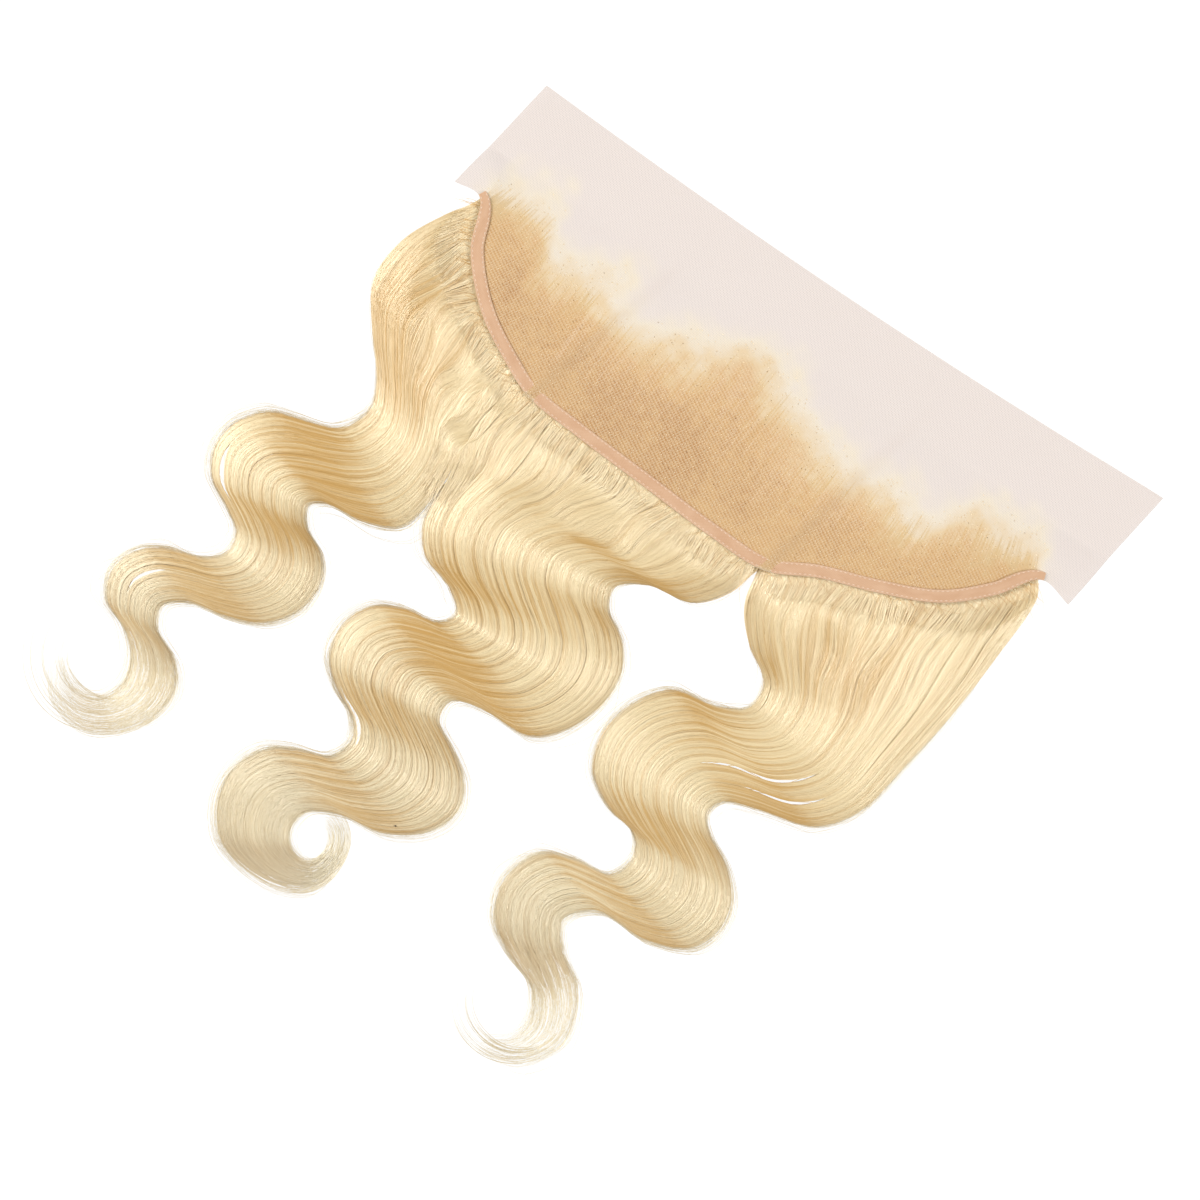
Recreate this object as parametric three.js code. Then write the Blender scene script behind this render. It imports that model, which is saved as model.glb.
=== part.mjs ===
// A lace frontal lying flat: a sheet of fine lace with hair knotted into its back part,
// a woven tape sewn along its curved back edge, and the hair in three waved locks.
// Millimetres. +X runs from ear to ear, +Y towards the front edge of the lace, +Z up.
// Places in plan are measured from the middle of the straight line between the tape's ends.

import * as THREE from "three";

// Sizes of the lace sheet
const TAPE_CHORD = 330; // straight line between the two ends of the tape, 13 inches
const TAPE_SAG = 72; // how far the curved back edge bows out behind that line
const FRONT_EDGE = 360; // length of the uncut front edge
const FRONT_REACH = 66; // from the line between the tape's ends forward to the front edge
const FRONT_BOW = 4; // how far the middle of the front edge bows back
const FRONT_OFFSET = 14; // the front edge lies this far to the right of the tape's middle
const LACE_WALL = 1; // thickness of the sheet
const CREASE_RISE = 1.4; // height of the two folds that run forward from the kinks in the tape
const CORNER_LIFT = 2.5; // how far the front corners curl off the surface

// Sizes of the tape
const TAPE_WIDTH = 6.5;
const TAPE_WALL = 1;
const TAPE_GAP = 0.35; // clearance between the tape and the lace under it
const TAPE_STOP = 2; // the tape stops at least this far inside the lace's end rows, across
const TAPE_TAPER = 0.4; // width left at the tape's two ends, as a share of its full width
const TAPER_SECTIONS = 2; // sections over which the tape narrows to that at either end

// Sizes of the hair
const HAIR_REACH = 340; // from the line between the tape's ends back to the lowest tip
const HAIR_DEPTH = 11; // greatest thickness of the hair where it leaves the tape
const BED_DEPTH = 9; // height of the lace over the knotted hair at the tape
const BED_START = 26; // where the lace begins to rise over that hair, in front of the line
const HAIR_GAP = 0.65; // clearance between the hair and the lace over it
const LEVEL_RUN = 8; // how far out from under the lace the hair stays level with its edge
const FREE_SLOPE = 0.6; // how steeply it may rise from there
const EDGE_LIP = 0.8; // thickness left along the very edge of a lock
const STRIPS = 7; // strips of hair side by side in each lock
const STRIP_GROOVE = 0.2; // depth of the grooves between them, as a share of the thickness
const UNDERSIDE_INSET = 0.03; // how far the flat underside stops short of a lock's edges

// How finely the forms are cut
const LACE_STEPS = 12; // from the back edge to the front
const COLUMNS_PER_ROW = 3; // sections of lace and tape for each row of their table
const RINGS_PER_ROW = 2; // sections of a lock for each row of its table

// Names the columns of a table.
const table = (columns, rows) =>
  rows.map((row) => Object.fromEntries(columns.map((name, i) => [name, row[i]])));

// Sections of the lace from the left side edge to the right one. across is a share of
// TAPE_CHORD, down a share of TAPE_SAG, front a share of FRONT_EDGE from its left end.
// The tape runs almost from the second row to the last but one, and a crease starts at each kink.
const LACE = table(
  ["across", "down", "front", "crease"],
  [
    [-0.536, -0.03, 0.0, 0],
    [-0.494, -0.04, 0.039, 0],
    [-0.461, 0.29, 0.078, 0],
    [-0.397, 0.6, 0.142, 0],
    [-0.327, 0.79, 0.217, 0],
    [-0.27, 0.9, 0.311, 1],
    [-0.182, 0.94, 0.383, 0],
    [-0.061, 0.97, 0.483, 0],
    [0.061, 1.0, 0.583, 0],
    [0.158, 0.99, 0.689, 1],
    [0.23, 0.83, 0.756, 0],
    [0.315, 0.69, 0.817, 0],
    [0.4, 0.51, 0.878, 0],
    [0.461, 0.26, 0.928, 0],
    [0.506, 0.0, 0.967, 0],
    [0.558, 0.04, 1.0, 0],
  ],
);

// Sections of the locks from the hairline to the tip. The middle of a section lies at
// across (a share of TAPE_CHORD) and down (a share of HAIR_REACH). span is its width as a
// share of TAPE_CHORD, turn the angle in degrees from +X of the line from its left edge to its
// right one, and thick its thickness as a share of HAIR_DEPTH.
const LOCK_COLUMNS = ["across", "down", "span", "turn", "thick"];

const LEFT_LOCK = table(LOCK_COLUMNS, [
  [-0.379, -0.044, 0.2, -2, 1.0],
  [-0.394, 0.047, 0.227, -22, 1.0],
  [-0.409, 0.109, 0.27, -34, 1.0],
  [-0.429, 0.166, 0.283, -27, 0.95],
  [-0.433, 0.221, 0.27, -22, 0.88],
  [-0.415, 0.268, 0.218, -19, 0.9],
  [-0.392, 0.307, 0.175, -17, 0.92],
  [-0.38, 0.347, 0.152, -14, 0.88],
  [-0.391, 0.391, 0.173, -10, 0.8],
  [-0.424, 0.421, 0.218, -14, 0.84],
  [-0.473, 0.441, 0.215, -16, 0.88],
  [-0.52, 0.465, 0.18, -8, 0.8],
  [-0.533, 0.494, 0.164, 0, 0.72],
  [-0.514, 0.528, 0.161, 5, 0.76],
  [-0.473, 0.55, 0.158, 7, 0.8],
  [-0.445, 0.578, 0.145, 4, 0.72],
  [-0.444, 0.618, 0.142, -2, 0.62],
  [-0.473, 0.653, 0.142, -10, 0.66],
  [-0.523, 0.672, 0.13, -17, 0.7],
  [-0.57, 0.691, 0.106, -13, 0.62],
  [-0.594, 0.726, 0.091, -4, 0.52],
  [-0.579, 0.762, 0.085, 4, 0.54],
  [-0.533, 0.784, 0.085, 2, 0.56],
  [-0.503, 0.816, 0.079, -2, 0.48],
  [-0.497, 0.857, 0.067, -8, 0.42],
  [-0.518, 0.897, 0.055, -27, 0.36],
  [-0.559, 0.919, 0.048, -55, 0.3],
  [-0.605, 0.909, 0.03, -95, 0.24],
  [-0.633, 0.876, 0.009, -130, 0.16],
]);

const MIDDLE_LOCK = table(LOCK_COLUMNS, [
  [-0.052, -0.044, 0.442, 1, 1.0],
  [-0.064, 0.082, 0.442, -1, 1.0],
  [-0.071, 0.199, 0.439, -3.5, 1.0],
  [-0.08, 0.254, 0.439, -1, 0.96],
  [-0.103, 0.304, 0.406, 0, 0.92],
  [-0.136, 0.329, 0.333, 4, 0.96],
  [-0.156, 0.365, 0.297, 7, 0.92],
  [-0.147, 0.401, 0.303, 9, 0.94],
  [-0.112, 0.432, 0.315, 11, 0.96],
  [-0.071, 0.462, 0.285, 7, 0.88],
  [-0.055, 0.5, 0.255, 3, 0.8],
  [-0.074, 0.54, 0.252, -5, 0.84],
  [-0.12, 0.565, 0.264, -12, 0.88],
  [-0.179, 0.579, 0.227, -9, 0.82],
  [-0.214, 0.61, 0.197, -1, 0.74],
  [-0.209, 0.65, 0.188, 4, 0.76],
  [-0.17, 0.678, 0.194, 6, 0.82],
  [-0.13, 0.703, 0.188, 4, 0.76],
  [-0.112, 0.738, 0.188, 0, 0.68],
  [-0.127, 0.779, 0.182, -4, 0.7],
  [-0.177, 0.807, 0.176, -11, 0.74],
  [-0.232, 0.826, 0.148, -7, 0.66],
  [-0.265, 0.863, 0.124, 4, 0.58],
  [-0.265, 0.901, 0.115, 14, 0.54],
  [-0.241, 0.935, 0.103, 32, 0.5],
  [-0.2, 0.947, 0.078, 51, 0.44],
  [-0.159, 0.941, 0.055, 81, 0.36],
  [-0.133, 0.921, 0.038, 108, 0.28],
  [-0.127, 0.885, 0.009, 150, 0.16],
]);

const RIGHT_LOCK = table(LOCK_COLUMNS, [
  [0.33, -0.044, 0.309, 1, 1.0],
  [0.336, 0.041, 0.348, 14, 1.0],
  [0.335, 0.115, 0.412, 27, 1.0],
  [0.339, 0.194, 0.385, 22, 0.95],
  [0.355, 0.269, 0.32, 15, 0.9],
  [0.371, 0.335, 0.245, 3, 0.86],
  [0.364, 0.4, 0.227, -9, 0.88],
  [0.32, 0.44, 0.236, -16, 0.92],
  [0.247, 0.459, 0.218, -21, 0.88],
  [0.203, 0.493, 0.2, -13, 0.8],
  [0.192, 0.535, 0.197, -4, 0.74],
  [0.212, 0.574, 0.2, 5, 0.78],
  [0.259, 0.601, 0.194, 8, 0.82],
  [0.302, 0.625, 0.179, -1, 0.76],
  [0.317, 0.663, 0.168, -7, 0.68],
  [0.3, 0.703, 0.165, -8, 0.7],
  [0.241, 0.721, 0.155, -16, 0.72],
  [0.177, 0.732, 0.121, -12, 0.64],
  [0.147, 0.781, 0.106, -2, 0.54],
  [0.17, 0.829, 0.111, 9, 0.56],
  [0.218, 0.859, 0.105, 10, 0.56],
  [0.256, 0.891, 0.076, -5, 0.46],
  [0.27, 0.935, 0.055, -6, 0.36],
  [0.247, 0.979, 0.036, -41, 0.26],
  [0.2, 0.997, 0.009, -80, 0.16],
]);

const { clamp, degToRad, lerp, smoothstep } = THREE.MathUtils;

// Joins closed rings of points into one closed body, with a flat cap at either end. Seen along
// the way from the first ring to the last, each ring runs anticlockwise.
function loft(rings) {
  const size = rings[0].length;
  const last = (rings.length - 1) * size;
  const faces = [];
  for (let start = 0; start < last; start += size)
    for (let i = 0; i < size; i++) {
      const next = (i + 1) % size;
      const [a, b] = [start + i, start + next];
      faces.push([a, a + size, b + size], [a, b + size, b]);
    }
  for (const [a, b, c] of capFaces(rings[0])) faces.push([a, b, c]);
  for (const [a, b, c] of capFaces(rings.at(-1))) faces.push([last + a, last + c, last + b]);
  const body = new THREE.BufferGeometry().setFromPoints(rings.flat());
  body.setIndex(faces.flat());
  body.computeVertexNormals();
  return body;
}

// Triangles of the flat upright face that a ring encloses, in the ring's own direction.
function capFaces(ring) {
  const along = ring[0].clone().setZ(0);
  const run = ring.reduce((far, p) => {
    const step = p.clone().setZ(0).sub(along);
    return step.length() > far.length() ? step : far;
  }, new THREE.Vector3());
  run.normalize();
  const outline = ring.map((p) => new THREE.Vector2(p.clone().sub(ring[0]).dot(run), p.z));
  const faces = THREE.ShapeUtils.triangulateShape(outline, []);
  const drawn = faces[0].map((i) => outline[i]);
  const turned = THREE.ShapeUtils.area(drawn) * THREE.ShapeUtils.area(outline) < 0;
  return turned ? faces.map(([a, b, c]) => [a, c, b]) : faces;
}

// The back and front edges of the lace, as curves through their table
const backEdge = new THREE.CatmullRomCurve3(
  LACE.map((row) => new THREE.Vector3(row.across * TAPE_CHORD, -row.down * TAPE_SAG, 0)),
  false,
  "centripetal",
);
const frontEdge = new THREE.CatmullRomCurve3(
  LACE.map(({ front }) => {
    const bow = FRONT_BOW * Math.sin(front * Math.PI);
    return new THREE.Vector3(FRONT_OFFSET + (front - 0.5) * FRONT_EDGE, FRONT_REACH - bow, 0);
  }),
  false,
  "centripetal",
);

const LACE_COLUMNS = (LACE.length - 1) * COLUMNS_PER_ROW;
const columns = Array.from({ length: LACE_COLUMNS + 1 }, (_, i) => {
  const row = LACE[i / COLUMNS_PER_ROW];
  return {
    back: backEdge.getPoint(i / LACE_COLUMNS),
    front: frontEdge.getPoint(i / LACE_COLUMNS),
    tangent: backEdge.getTangent(i / LACE_COLUMNS),
    crease: row ? row.crease * CREASE_RISE : 0,
  };
});

// How far forward the back edge lies at a given place across.
function backLine(x) {
  const after = columns.findIndex(({ back }) => back.x >= x);
  if (after < 1) return after === 0 ? columns[0].back.y : columns.at(-1).back.y;
  const [from, to] = [columns[after - 1].back, columns[after].back];
  return lerp(from.y, to.y, (x - from.x) / (to.x - from.x));
}

// Height of the lace's underside: flat on the surface in front, rising over the knotted hair to
// its full height at the inner side of the tape, and less so towards the ears.
function laceUnderside(x, y) {
  const tapeSide = backLine(x) + TAPE_WIDTH;
  const share = clamp((BED_START - y) / (BED_START - tapeSide), 0, 1);
  const towardsEar = smoothstep(Math.abs(x), TAPE_CHORD * 0.36, TAPE_CHORD * 0.53);
  const corner = smoothstep(Math.abs(x), FRONT_EDGE * 0.36, FRONT_EDGE * 0.53);
  const curl = CORNER_LIFT * corner * smoothstep(y, BED_START, FRONT_REACH);
  return BED_DEPTH * Math.sin((share * Math.PI) / 2) * lerp(1, 0.5, towardsEar) + curl;
}

// The underside of the lace along one section, from the back edge to the front. The second
// point lies under the inner side of the tape.
function laceSection({ back, front, tangent, crease }) {
  const run = front.clone().sub(back);
  const underTape = TAPE_WIDTH / Math.abs(tangent.x * run.y - tangent.y * run.x);
  return Array.from({ length: LACE_STEPS + 1 }, (_, i) => {
    const share = i ? lerp(underTape, 1, (i - 1) / (LACE_STEPS - 1)) : 0;
    const point = back.clone().addScaledVector(run, share);
    return point.setZ(laceUnderside(point.x, point.y) + crease * (1 - share * share));
  });
}

const raised = (points, rise) => points.map((point) => point.clone().setZ(point.z + rise));

// The lace: each section runs forward over the top and back along the underside.
function laceSheet() {
  const rings = columns.map((column) => {
    const under = laceSection(column);
    return [...raised(under, LACE_WALL), ...under.reverse()];
  });
  return loft(rings);
}

// The tape: a flat ribbon over the lace, its outer side flush with the back edge, narrowing
// towards its two ends.
function tapeRibbon() {
  const leftEnd = columns[COLUMNS_PER_ROW].back.x + TAPE_STOP;
  const rightEnd = columns[LACE_COLUMNS - COLUMNS_PER_ROW].back.x - TAPE_STOP;
  const sewn = columns.filter(({ back }) => back.x > leftEnd && back.x < rightEnd);
  const rings = sewn.map((column, i) => {
    const under = raised(laceSection(column).slice(0, 2), LACE_WALL + TAPE_GAP);
    const fromEnd = Math.min(i, sewn.length - 1 - i);
    const width = lerp(TAPE_TAPER, 1, clamp(fromEnd / TAPER_SECTIONS, 0, 1));
    under[1].lerpVectors(under[0], under[1], width);
    return [...raised(under, TAPE_WALL), ...under.reverse()];
  });
  return loft(rings);
}

// The highest that hair can lie at a place: just under the lace, level with its edge for
// LEVEL_RUN outside it, and rising by degrees from there.
function hairCeiling(x, y) {
  const covered = x > columns[0].back.x && x < columns.at(-1).back.x && y > backLine(x);
  if (covered) return laceUnderside(x, y) - HAIR_GAP;
  const here = new THREE.Vector3(x, y, 0);
  const edge = columns
    .map(({ back }) => back)
    .reduce((near, back) => (back.distanceTo(here) < near.distanceTo(here) ? back : near));
  const away = Math.max(0, edge.distanceTo(here) - LEVEL_RUN);
  return laceUnderside(edge.x, edge.y) - HAIR_GAP + away * FREE_SLOPE;
}

// One lock: a flat underside on the surface and a top of rounded strips, broad and square under
// the lace and round at its edges where it lies free.
function hairLock(sections) {
  const edge = (side) =>
    new THREE.CatmullRomCurve3(
      sections.map((row) => {
        const half = (side * row.span * TAPE_CHORD) / 2;
        const turn = degToRad(row.turn);
        return new THREE.Vector3(
          row.across * TAPE_CHORD + half * Math.cos(turn),
          -row.down * HAIR_REACH + half * Math.sin(turn),
          row.thick * HAIR_DEPTH,
        );
      }),
      false,
      "centripetal",
    );
  const [left, right] = [edge(-1), edge(1)];
  const count = (sections.length - 1) * RINGS_PER_ROW;
  const rings = Array.from({ length: count + 1 }, (_, k) => {
    const [from, to] = [left.getPoint(k / count), right.getPoint(k / count)];
    const rounded = lerp(0.08, 0.5, smoothstep(k, RINGS_PER_ROW, 6 * RINGS_PER_ROW));
    const steps = 2 * STRIPS;
    const top = Array.from({ length: steps + 1 }, (_, i) => {
      const share = i / steps;
      const point = from.clone().lerp(to, share);
      const inside = clamp(Math.min(share, 1 - share) / rounded, 0, 1);
      const dome = Math.sqrt(1 - (1 - inside) ** 2);
      const groove = i % 2 ? 0 : STRIP_GROOVE;
      const free = EDGE_LIP + (point.z - EDGE_LIP) * dome * (1 - groove);
      return point.setZ(Math.min(free, hairCeiling(point.x, point.y)));
    });
    const underside = [1 - UNDERSIDE_INSET, 0.5, UNDERSIDE_INSET].map((share) =>
      from.clone().lerp(to, share).setZ(0),
    );
    return [...top, ...underside];
  });
  return loft(rings);
}

// A finished piece with its name, colour and roughness.
function piece(name, geometry, color, roughness) {
  const material = new THREE.MeshStandardMaterial({ color, roughness, metalness: 0 });
  const mesh = new THREE.Mesh(geometry, material);
  mesh.name = name;
  return mesh;
}

const frontal = new THREE.Group();
frontal.add(
  piece("lace_base", laceSheet(), 0xe9dfd8, 0.9),
  piece("back_tape", tapeRibbon(), 0xe2b89e, 0.85),
  piece("hair_left", hairLock(LEFT_LOCK), 0xe8d096, 0.45),
  piece("hair_middle", hairLock(MIDDLE_LOCK), 0xe8d096, 0.45),
  piece("hair_right", hairLock(RIGHT_LOCK), 0xe8d096, 0.45),
);

// The origin is the middle of the whole footprint, on the surface that it lies on.
const middle = new THREE.Box3().setFromObject(frontal).getCenter(new THREE.Vector3());
frontal.position.set(-middle.x, -middle.y, 0);

export default frontal;
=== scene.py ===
# %% [markdown]
# # Dressing a lace frontal
# A lace frontal is a sheet of fine net that is worn at the front of the head. Single hairs are
# knotted into its back part, a tape is sewn along its curved back edge, and the hair is combed
# back from there. This lesson dresses the measured model of one: it lies flat, scalp side up,
# with its blonde hair in three waved locks.
# The measured solids give every place and size. We load them first and keep their box. Only loose
# ends of hair may reach past it.

# %% Load the measured part
import math

import bpy
import numpy as np
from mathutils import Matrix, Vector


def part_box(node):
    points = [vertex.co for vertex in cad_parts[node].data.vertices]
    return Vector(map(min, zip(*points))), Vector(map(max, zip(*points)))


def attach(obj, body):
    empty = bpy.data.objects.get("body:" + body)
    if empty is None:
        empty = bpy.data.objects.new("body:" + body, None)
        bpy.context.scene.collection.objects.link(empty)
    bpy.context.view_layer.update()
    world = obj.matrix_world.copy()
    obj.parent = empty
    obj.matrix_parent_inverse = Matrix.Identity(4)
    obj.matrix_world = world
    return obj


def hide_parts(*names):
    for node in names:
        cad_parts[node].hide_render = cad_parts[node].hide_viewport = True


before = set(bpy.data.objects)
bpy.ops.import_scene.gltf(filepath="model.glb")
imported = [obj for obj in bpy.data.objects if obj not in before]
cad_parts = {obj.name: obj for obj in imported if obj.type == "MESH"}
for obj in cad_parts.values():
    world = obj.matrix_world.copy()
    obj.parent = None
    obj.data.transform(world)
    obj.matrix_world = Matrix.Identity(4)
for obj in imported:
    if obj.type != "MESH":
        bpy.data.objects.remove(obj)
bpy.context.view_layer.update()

# %% [markdown]
# ## One set of sizes
# The solids were drawn in millimetres from the middle of the straight line between the tape's
# ends. We work in the same millimetres here, with +X from ear to ear and +Y towards the front
# edge, and turn them into the metres of the scene only when a mesh is made. The lace's box says
# how far that drawing was shifted, so nothing has to be measured twice.

# %% Sizes and the shift from the drawing to the scene
TAPE_CHORD = 330.0  # straight line between the tape's two ends
TAPE_SAG = 72.0  # how far the curved back edge bows out behind that line
FRONT_EDGE = 360.0  # length of the front edge
FRONT_REACH = 66.0  # from that line forward to the front edge
FRONT_BOW = 4.0
FRONT_OFFSET = 14.0  # the front edge lies this far to the right
TAPE_WIDTH = 6.5
HAIR_REACH = 340.0  # from that line back to the lowest tip
HAIR_DEPTH = 11.0  # greatest thickness of the hair
BED_DEPTH = 9.0  # height of the lace over the knotted hair at the tape
BED_START = 26.0  # where the lace begins to rise over that hair
EDGE_LIP = 0.8  # thickness of a lock along its very edge

lace_low, lace_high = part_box("lace_base")
shift = np.array(
    [
        1000 * lace_high.x - (FRONT_OFFSET + FRONT_EDGE / 2),
        1000 * lace_high.y - FRONT_REACH,
        0.0,
    ]
)


def in_metres(points):
    """Millimetres of the drawing to metres of the scene."""
    return (np.asarray(points, float) + shift) / 1000


print("the drawing is shifted by", shift.round(1), "mm")

# %% [markdown]
# ## The tables of the form
# A free form such as this is kept as short tables. Each row of the lace's table is one section
# from its back edge to its front edge. Each row of a lock's table is one section across the hair:
# where its middle lies, how wide it is, how far it is turned, and how thick it is. Lengths are
# shares of the sizes above, so the whole piece can grow without anything coming apart.

# %% Sections of the lace and of the three locks
# across (of TAPE_CHORD), down (of TAPE_SAG), front (of FRONT_EDGE), crease
LACE_ROWS = np.array(
    [
        (-0.536, -0.03, 0.0, 0), (-0.494, -0.04, 0.039, 0), (-0.461, 0.29, 0.078, 0),
        (-0.397, 0.6, 0.142, 0), (-0.327, 0.79, 0.217, 0), (-0.27, 0.9, 0.311, 1),
        (-0.182, 0.94, 0.383, 0), (-0.061, 0.97, 0.483, 0), (0.061, 1.0, 0.583, 0),
        (0.158, 0.99, 0.689, 1), (0.23, 0.83, 0.756, 0), (0.315, 0.69, 0.817, 0),
        (0.4, 0.51, 0.878, 0), (0.461, 0.26, 0.928, 0), (0.506, 0.0, 0.967, 0),
        (0.558, 0.04, 1.0, 0),
    ]
)
# across (of TAPE_CHORD), down (of HAIR_REACH), span (of TAPE_CHORD), turn (degrees),
# thick (of HAIR_DEPTH)
LOCK_ROWS = {
    "left": [
        (-0.379, -0.044, 0.2, -2, 1.0), (-0.394, 0.047, 0.227, -22, 1.0),
        (-0.409, 0.109, 0.27, -34, 1.0), (-0.429, 0.166, 0.283, -27, 0.95),
        (-0.433, 0.221, 0.27, -22, 0.88), (-0.415, 0.268, 0.218, -19, 0.9),
        (-0.392, 0.307, 0.175, -17, 0.92), (-0.38, 0.347, 0.152, -14, 0.88),
        (-0.391, 0.391, 0.173, -10, 0.8), (-0.424, 0.421, 0.218, -14, 0.84),
        (-0.473, 0.441, 0.215, -16, 0.88), (-0.52, 0.465, 0.18, -8, 0.8),
        (-0.533, 0.494, 0.164, 0, 0.72), (-0.514, 0.528, 0.161, 5, 0.76),
        (-0.473, 0.55, 0.158, 7, 0.8), (-0.445, 0.578, 0.145, 4, 0.72),
        (-0.444, 0.618, 0.142, -2, 0.62), (-0.473, 0.653, 0.142, -10, 0.66),
        (-0.523, 0.672, 0.13, -17, 0.7), (-0.57, 0.691, 0.106, -13, 0.62),
        (-0.594, 0.726, 0.091, -4, 0.52), (-0.579, 0.762, 0.085, 4, 0.54),
        (-0.533, 0.784, 0.085, 2, 0.56), (-0.503, 0.816, 0.079, -2, 0.48),
        (-0.497, 0.857, 0.067, -8, 0.42), (-0.518, 0.897, 0.055, -27, 0.36),
        (-0.559, 0.919, 0.048, -55, 0.3), (-0.605, 0.909, 0.03, -95, 0.24),
        (-0.633, 0.876, 0.009, -130, 0.16),
    ],
    "middle": [
        (-0.052, -0.044, 0.442, 1, 1.0), (-0.064, 0.082, 0.442, -1, 1.0),
        (-0.071, 0.199, 0.439, -3.5, 1.0), (-0.08, 0.254, 0.439, -1, 0.96),
        (-0.103, 0.304, 0.406, 0, 0.92), (-0.136, 0.329, 0.333, 4, 0.96),
        (-0.156, 0.365, 0.297, 7, 0.92), (-0.147, 0.401, 0.303, 9, 0.94),
        (-0.112, 0.432, 0.315, 11, 0.96), (-0.071, 0.462, 0.285, 7, 0.88),
        (-0.055, 0.5, 0.255, 3, 0.8), (-0.074, 0.54, 0.252, -5, 0.84),
        (-0.12, 0.565, 0.264, -12, 0.88), (-0.179, 0.579, 0.227, -9, 0.82),
        (-0.214, 0.61, 0.197, -1, 0.74), (-0.209, 0.65, 0.188, 4, 0.76),
        (-0.17, 0.678, 0.194, 6, 0.82), (-0.13, 0.703, 0.188, 4, 0.76),
        (-0.112, 0.738, 0.188, 0, 0.68), (-0.127, 0.779, 0.182, -4, 0.7),
        (-0.177, 0.807, 0.176, -11, 0.74), (-0.232, 0.826, 0.148, -7, 0.66),
        (-0.265, 0.863, 0.124, 4, 0.58), (-0.265, 0.901, 0.115, 14, 0.54),
        (-0.241, 0.935, 0.103, 32, 0.5), (-0.2, 0.947, 0.078, 51, 0.44),
        (-0.159, 0.941, 0.055, 81, 0.36), (-0.133, 0.921, 0.038, 108, 0.28),
        (-0.127, 0.885, 0.009, 150, 0.16),
    ],
    "right": [
        (0.33, -0.044, 0.309, 1, 1.0), (0.336, 0.041, 0.348, 14, 1.0),
        (0.335, 0.115, 0.412, 27, 1.0), (0.339, 0.194, 0.385, 22, 0.95),
        (0.355, 0.269, 0.32, 15, 0.9), (0.371, 0.335, 0.245, 3, 0.86),
        (0.364, 0.4, 0.227, -9, 0.88), (0.32, 0.44, 0.236, -16, 0.92),
        (0.247, 0.459, 0.218, -21, 0.88), (0.203, 0.493, 0.2, -13, 0.8),
        (0.192, 0.535, 0.197, -4, 0.74), (0.212, 0.574, 0.2, 5, 0.78),
        (0.259, 0.601, 0.194, 8, 0.82), (0.302, 0.625, 0.179, -1, 0.76),
        (0.317, 0.663, 0.168, -7, 0.68), (0.3, 0.703, 0.165, -8, 0.7),
        (0.241, 0.721, 0.155, -16, 0.72), (0.177, 0.732, 0.121, -12, 0.64),
        (0.147, 0.781, 0.106, -2, 0.54), (0.17, 0.829, 0.111, 9, 0.56),
        (0.218, 0.859, 0.105, 10, 0.56), (0.256, 0.891, 0.076, -5, 0.46),
        (0.27, 0.935, 0.055, -6, 0.36), (0.247, 0.979, 0.036, -41, 0.26),
        (0.2, 0.997, 0.009, -80, 0.16),
    ],
}
print({name: len(rows) for name, rows in LOCK_ROWS.items()}, "sections in the locks")

# %% [markdown]
# ## A smooth line through a few points
# A curve object could carry these lines, but every hair follows them, so we want them as plain
# arrays. The centripetal spline below passes through each given point without the loops that a
# uniform spline makes where points lie close together.

# %% The spline that every form follows


def smooth_line(points, at):
    """Places on a smooth line; at counts in rows of its table, 0 for the first."""
    ends = 2 * points[0] - points[1], 2 * points[-1] - points[-2]
    p = np.vstack([ends[0], points, ends[1]])
    step = np.sqrt(np.linalg.norm(np.diff(p, axis=0), axis=1))
    i = np.clip(at.astype(int), 0, len(points) - 2)
    t = (at - i)[:, None]
    a, b, c, d = (p[i + j] for j in range(4))
    before, here, after = (step[i + j][:, None] for j in range(3))
    leave = ((b - a) / before - (c - a) / (before + here) + (c - b) / here) * here
    arrive = ((c - b) / here - (d - b) / (here + after) + (d - c) / after) * here
    square = 3 * (c - b) - 2 * leave - arrive
    cube = 2 * (b - c) + leave + arrive
    return b + leave * t + square * t**2 + cube * t**3


def smoothstep(x, low, high):
    t = np.clip((np.asarray(x, float) - low) / (high - low), 0, 1)
    return t * t * (3 - 2 * t)


def mix(a, b, share):
    return a + (b - a) * share


def way_along(line):
    """How far along a line each of its points lies."""
    return np.append(0, np.cumsum(np.linalg.norm(np.diff(line, axis=0), axis=1)))


EDGE_COLUMNS = 240
edge_at = np.linspace(0, len(LACE_ROWS) - 1, EDGE_COLUMNS + 1)
back_points = np.stack(
    [LACE_ROWS[:, 0] * TAPE_CHORD, -LACE_ROWS[:, 1] * TAPE_SAG, 0 * LACE_ROWS[:, 0]], 1
)
front_bow = FRONT_BOW * np.sin(LACE_ROWS[:, 2] * math.pi)
front_points = np.stack(
    [
        FRONT_OFFSET + (LACE_ROWS[:, 2] - 0.5) * FRONT_EDGE,
        FRONT_REACH - front_bow,
        0 * front_bow,
    ],
    1,
)
back_edge = smooth_line(back_points, edge_at)
front_edge = smooth_line(front_points, edge_at)
print("back edge is", round(way_along(back_edge)[-1]), "mm long")

# %% [markdown]
# ## How high the lace lies
# In front the net lies on the table. Over the knotted hair it rises, highest at the tape. The same
# rule gives the ceiling for the hair under it, and a hair that leaves from under the tape may
# climb again only by degrees. The ceiling is worked out once on a coarse grid and looked up for
# the many thousand points of the strands.

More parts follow.
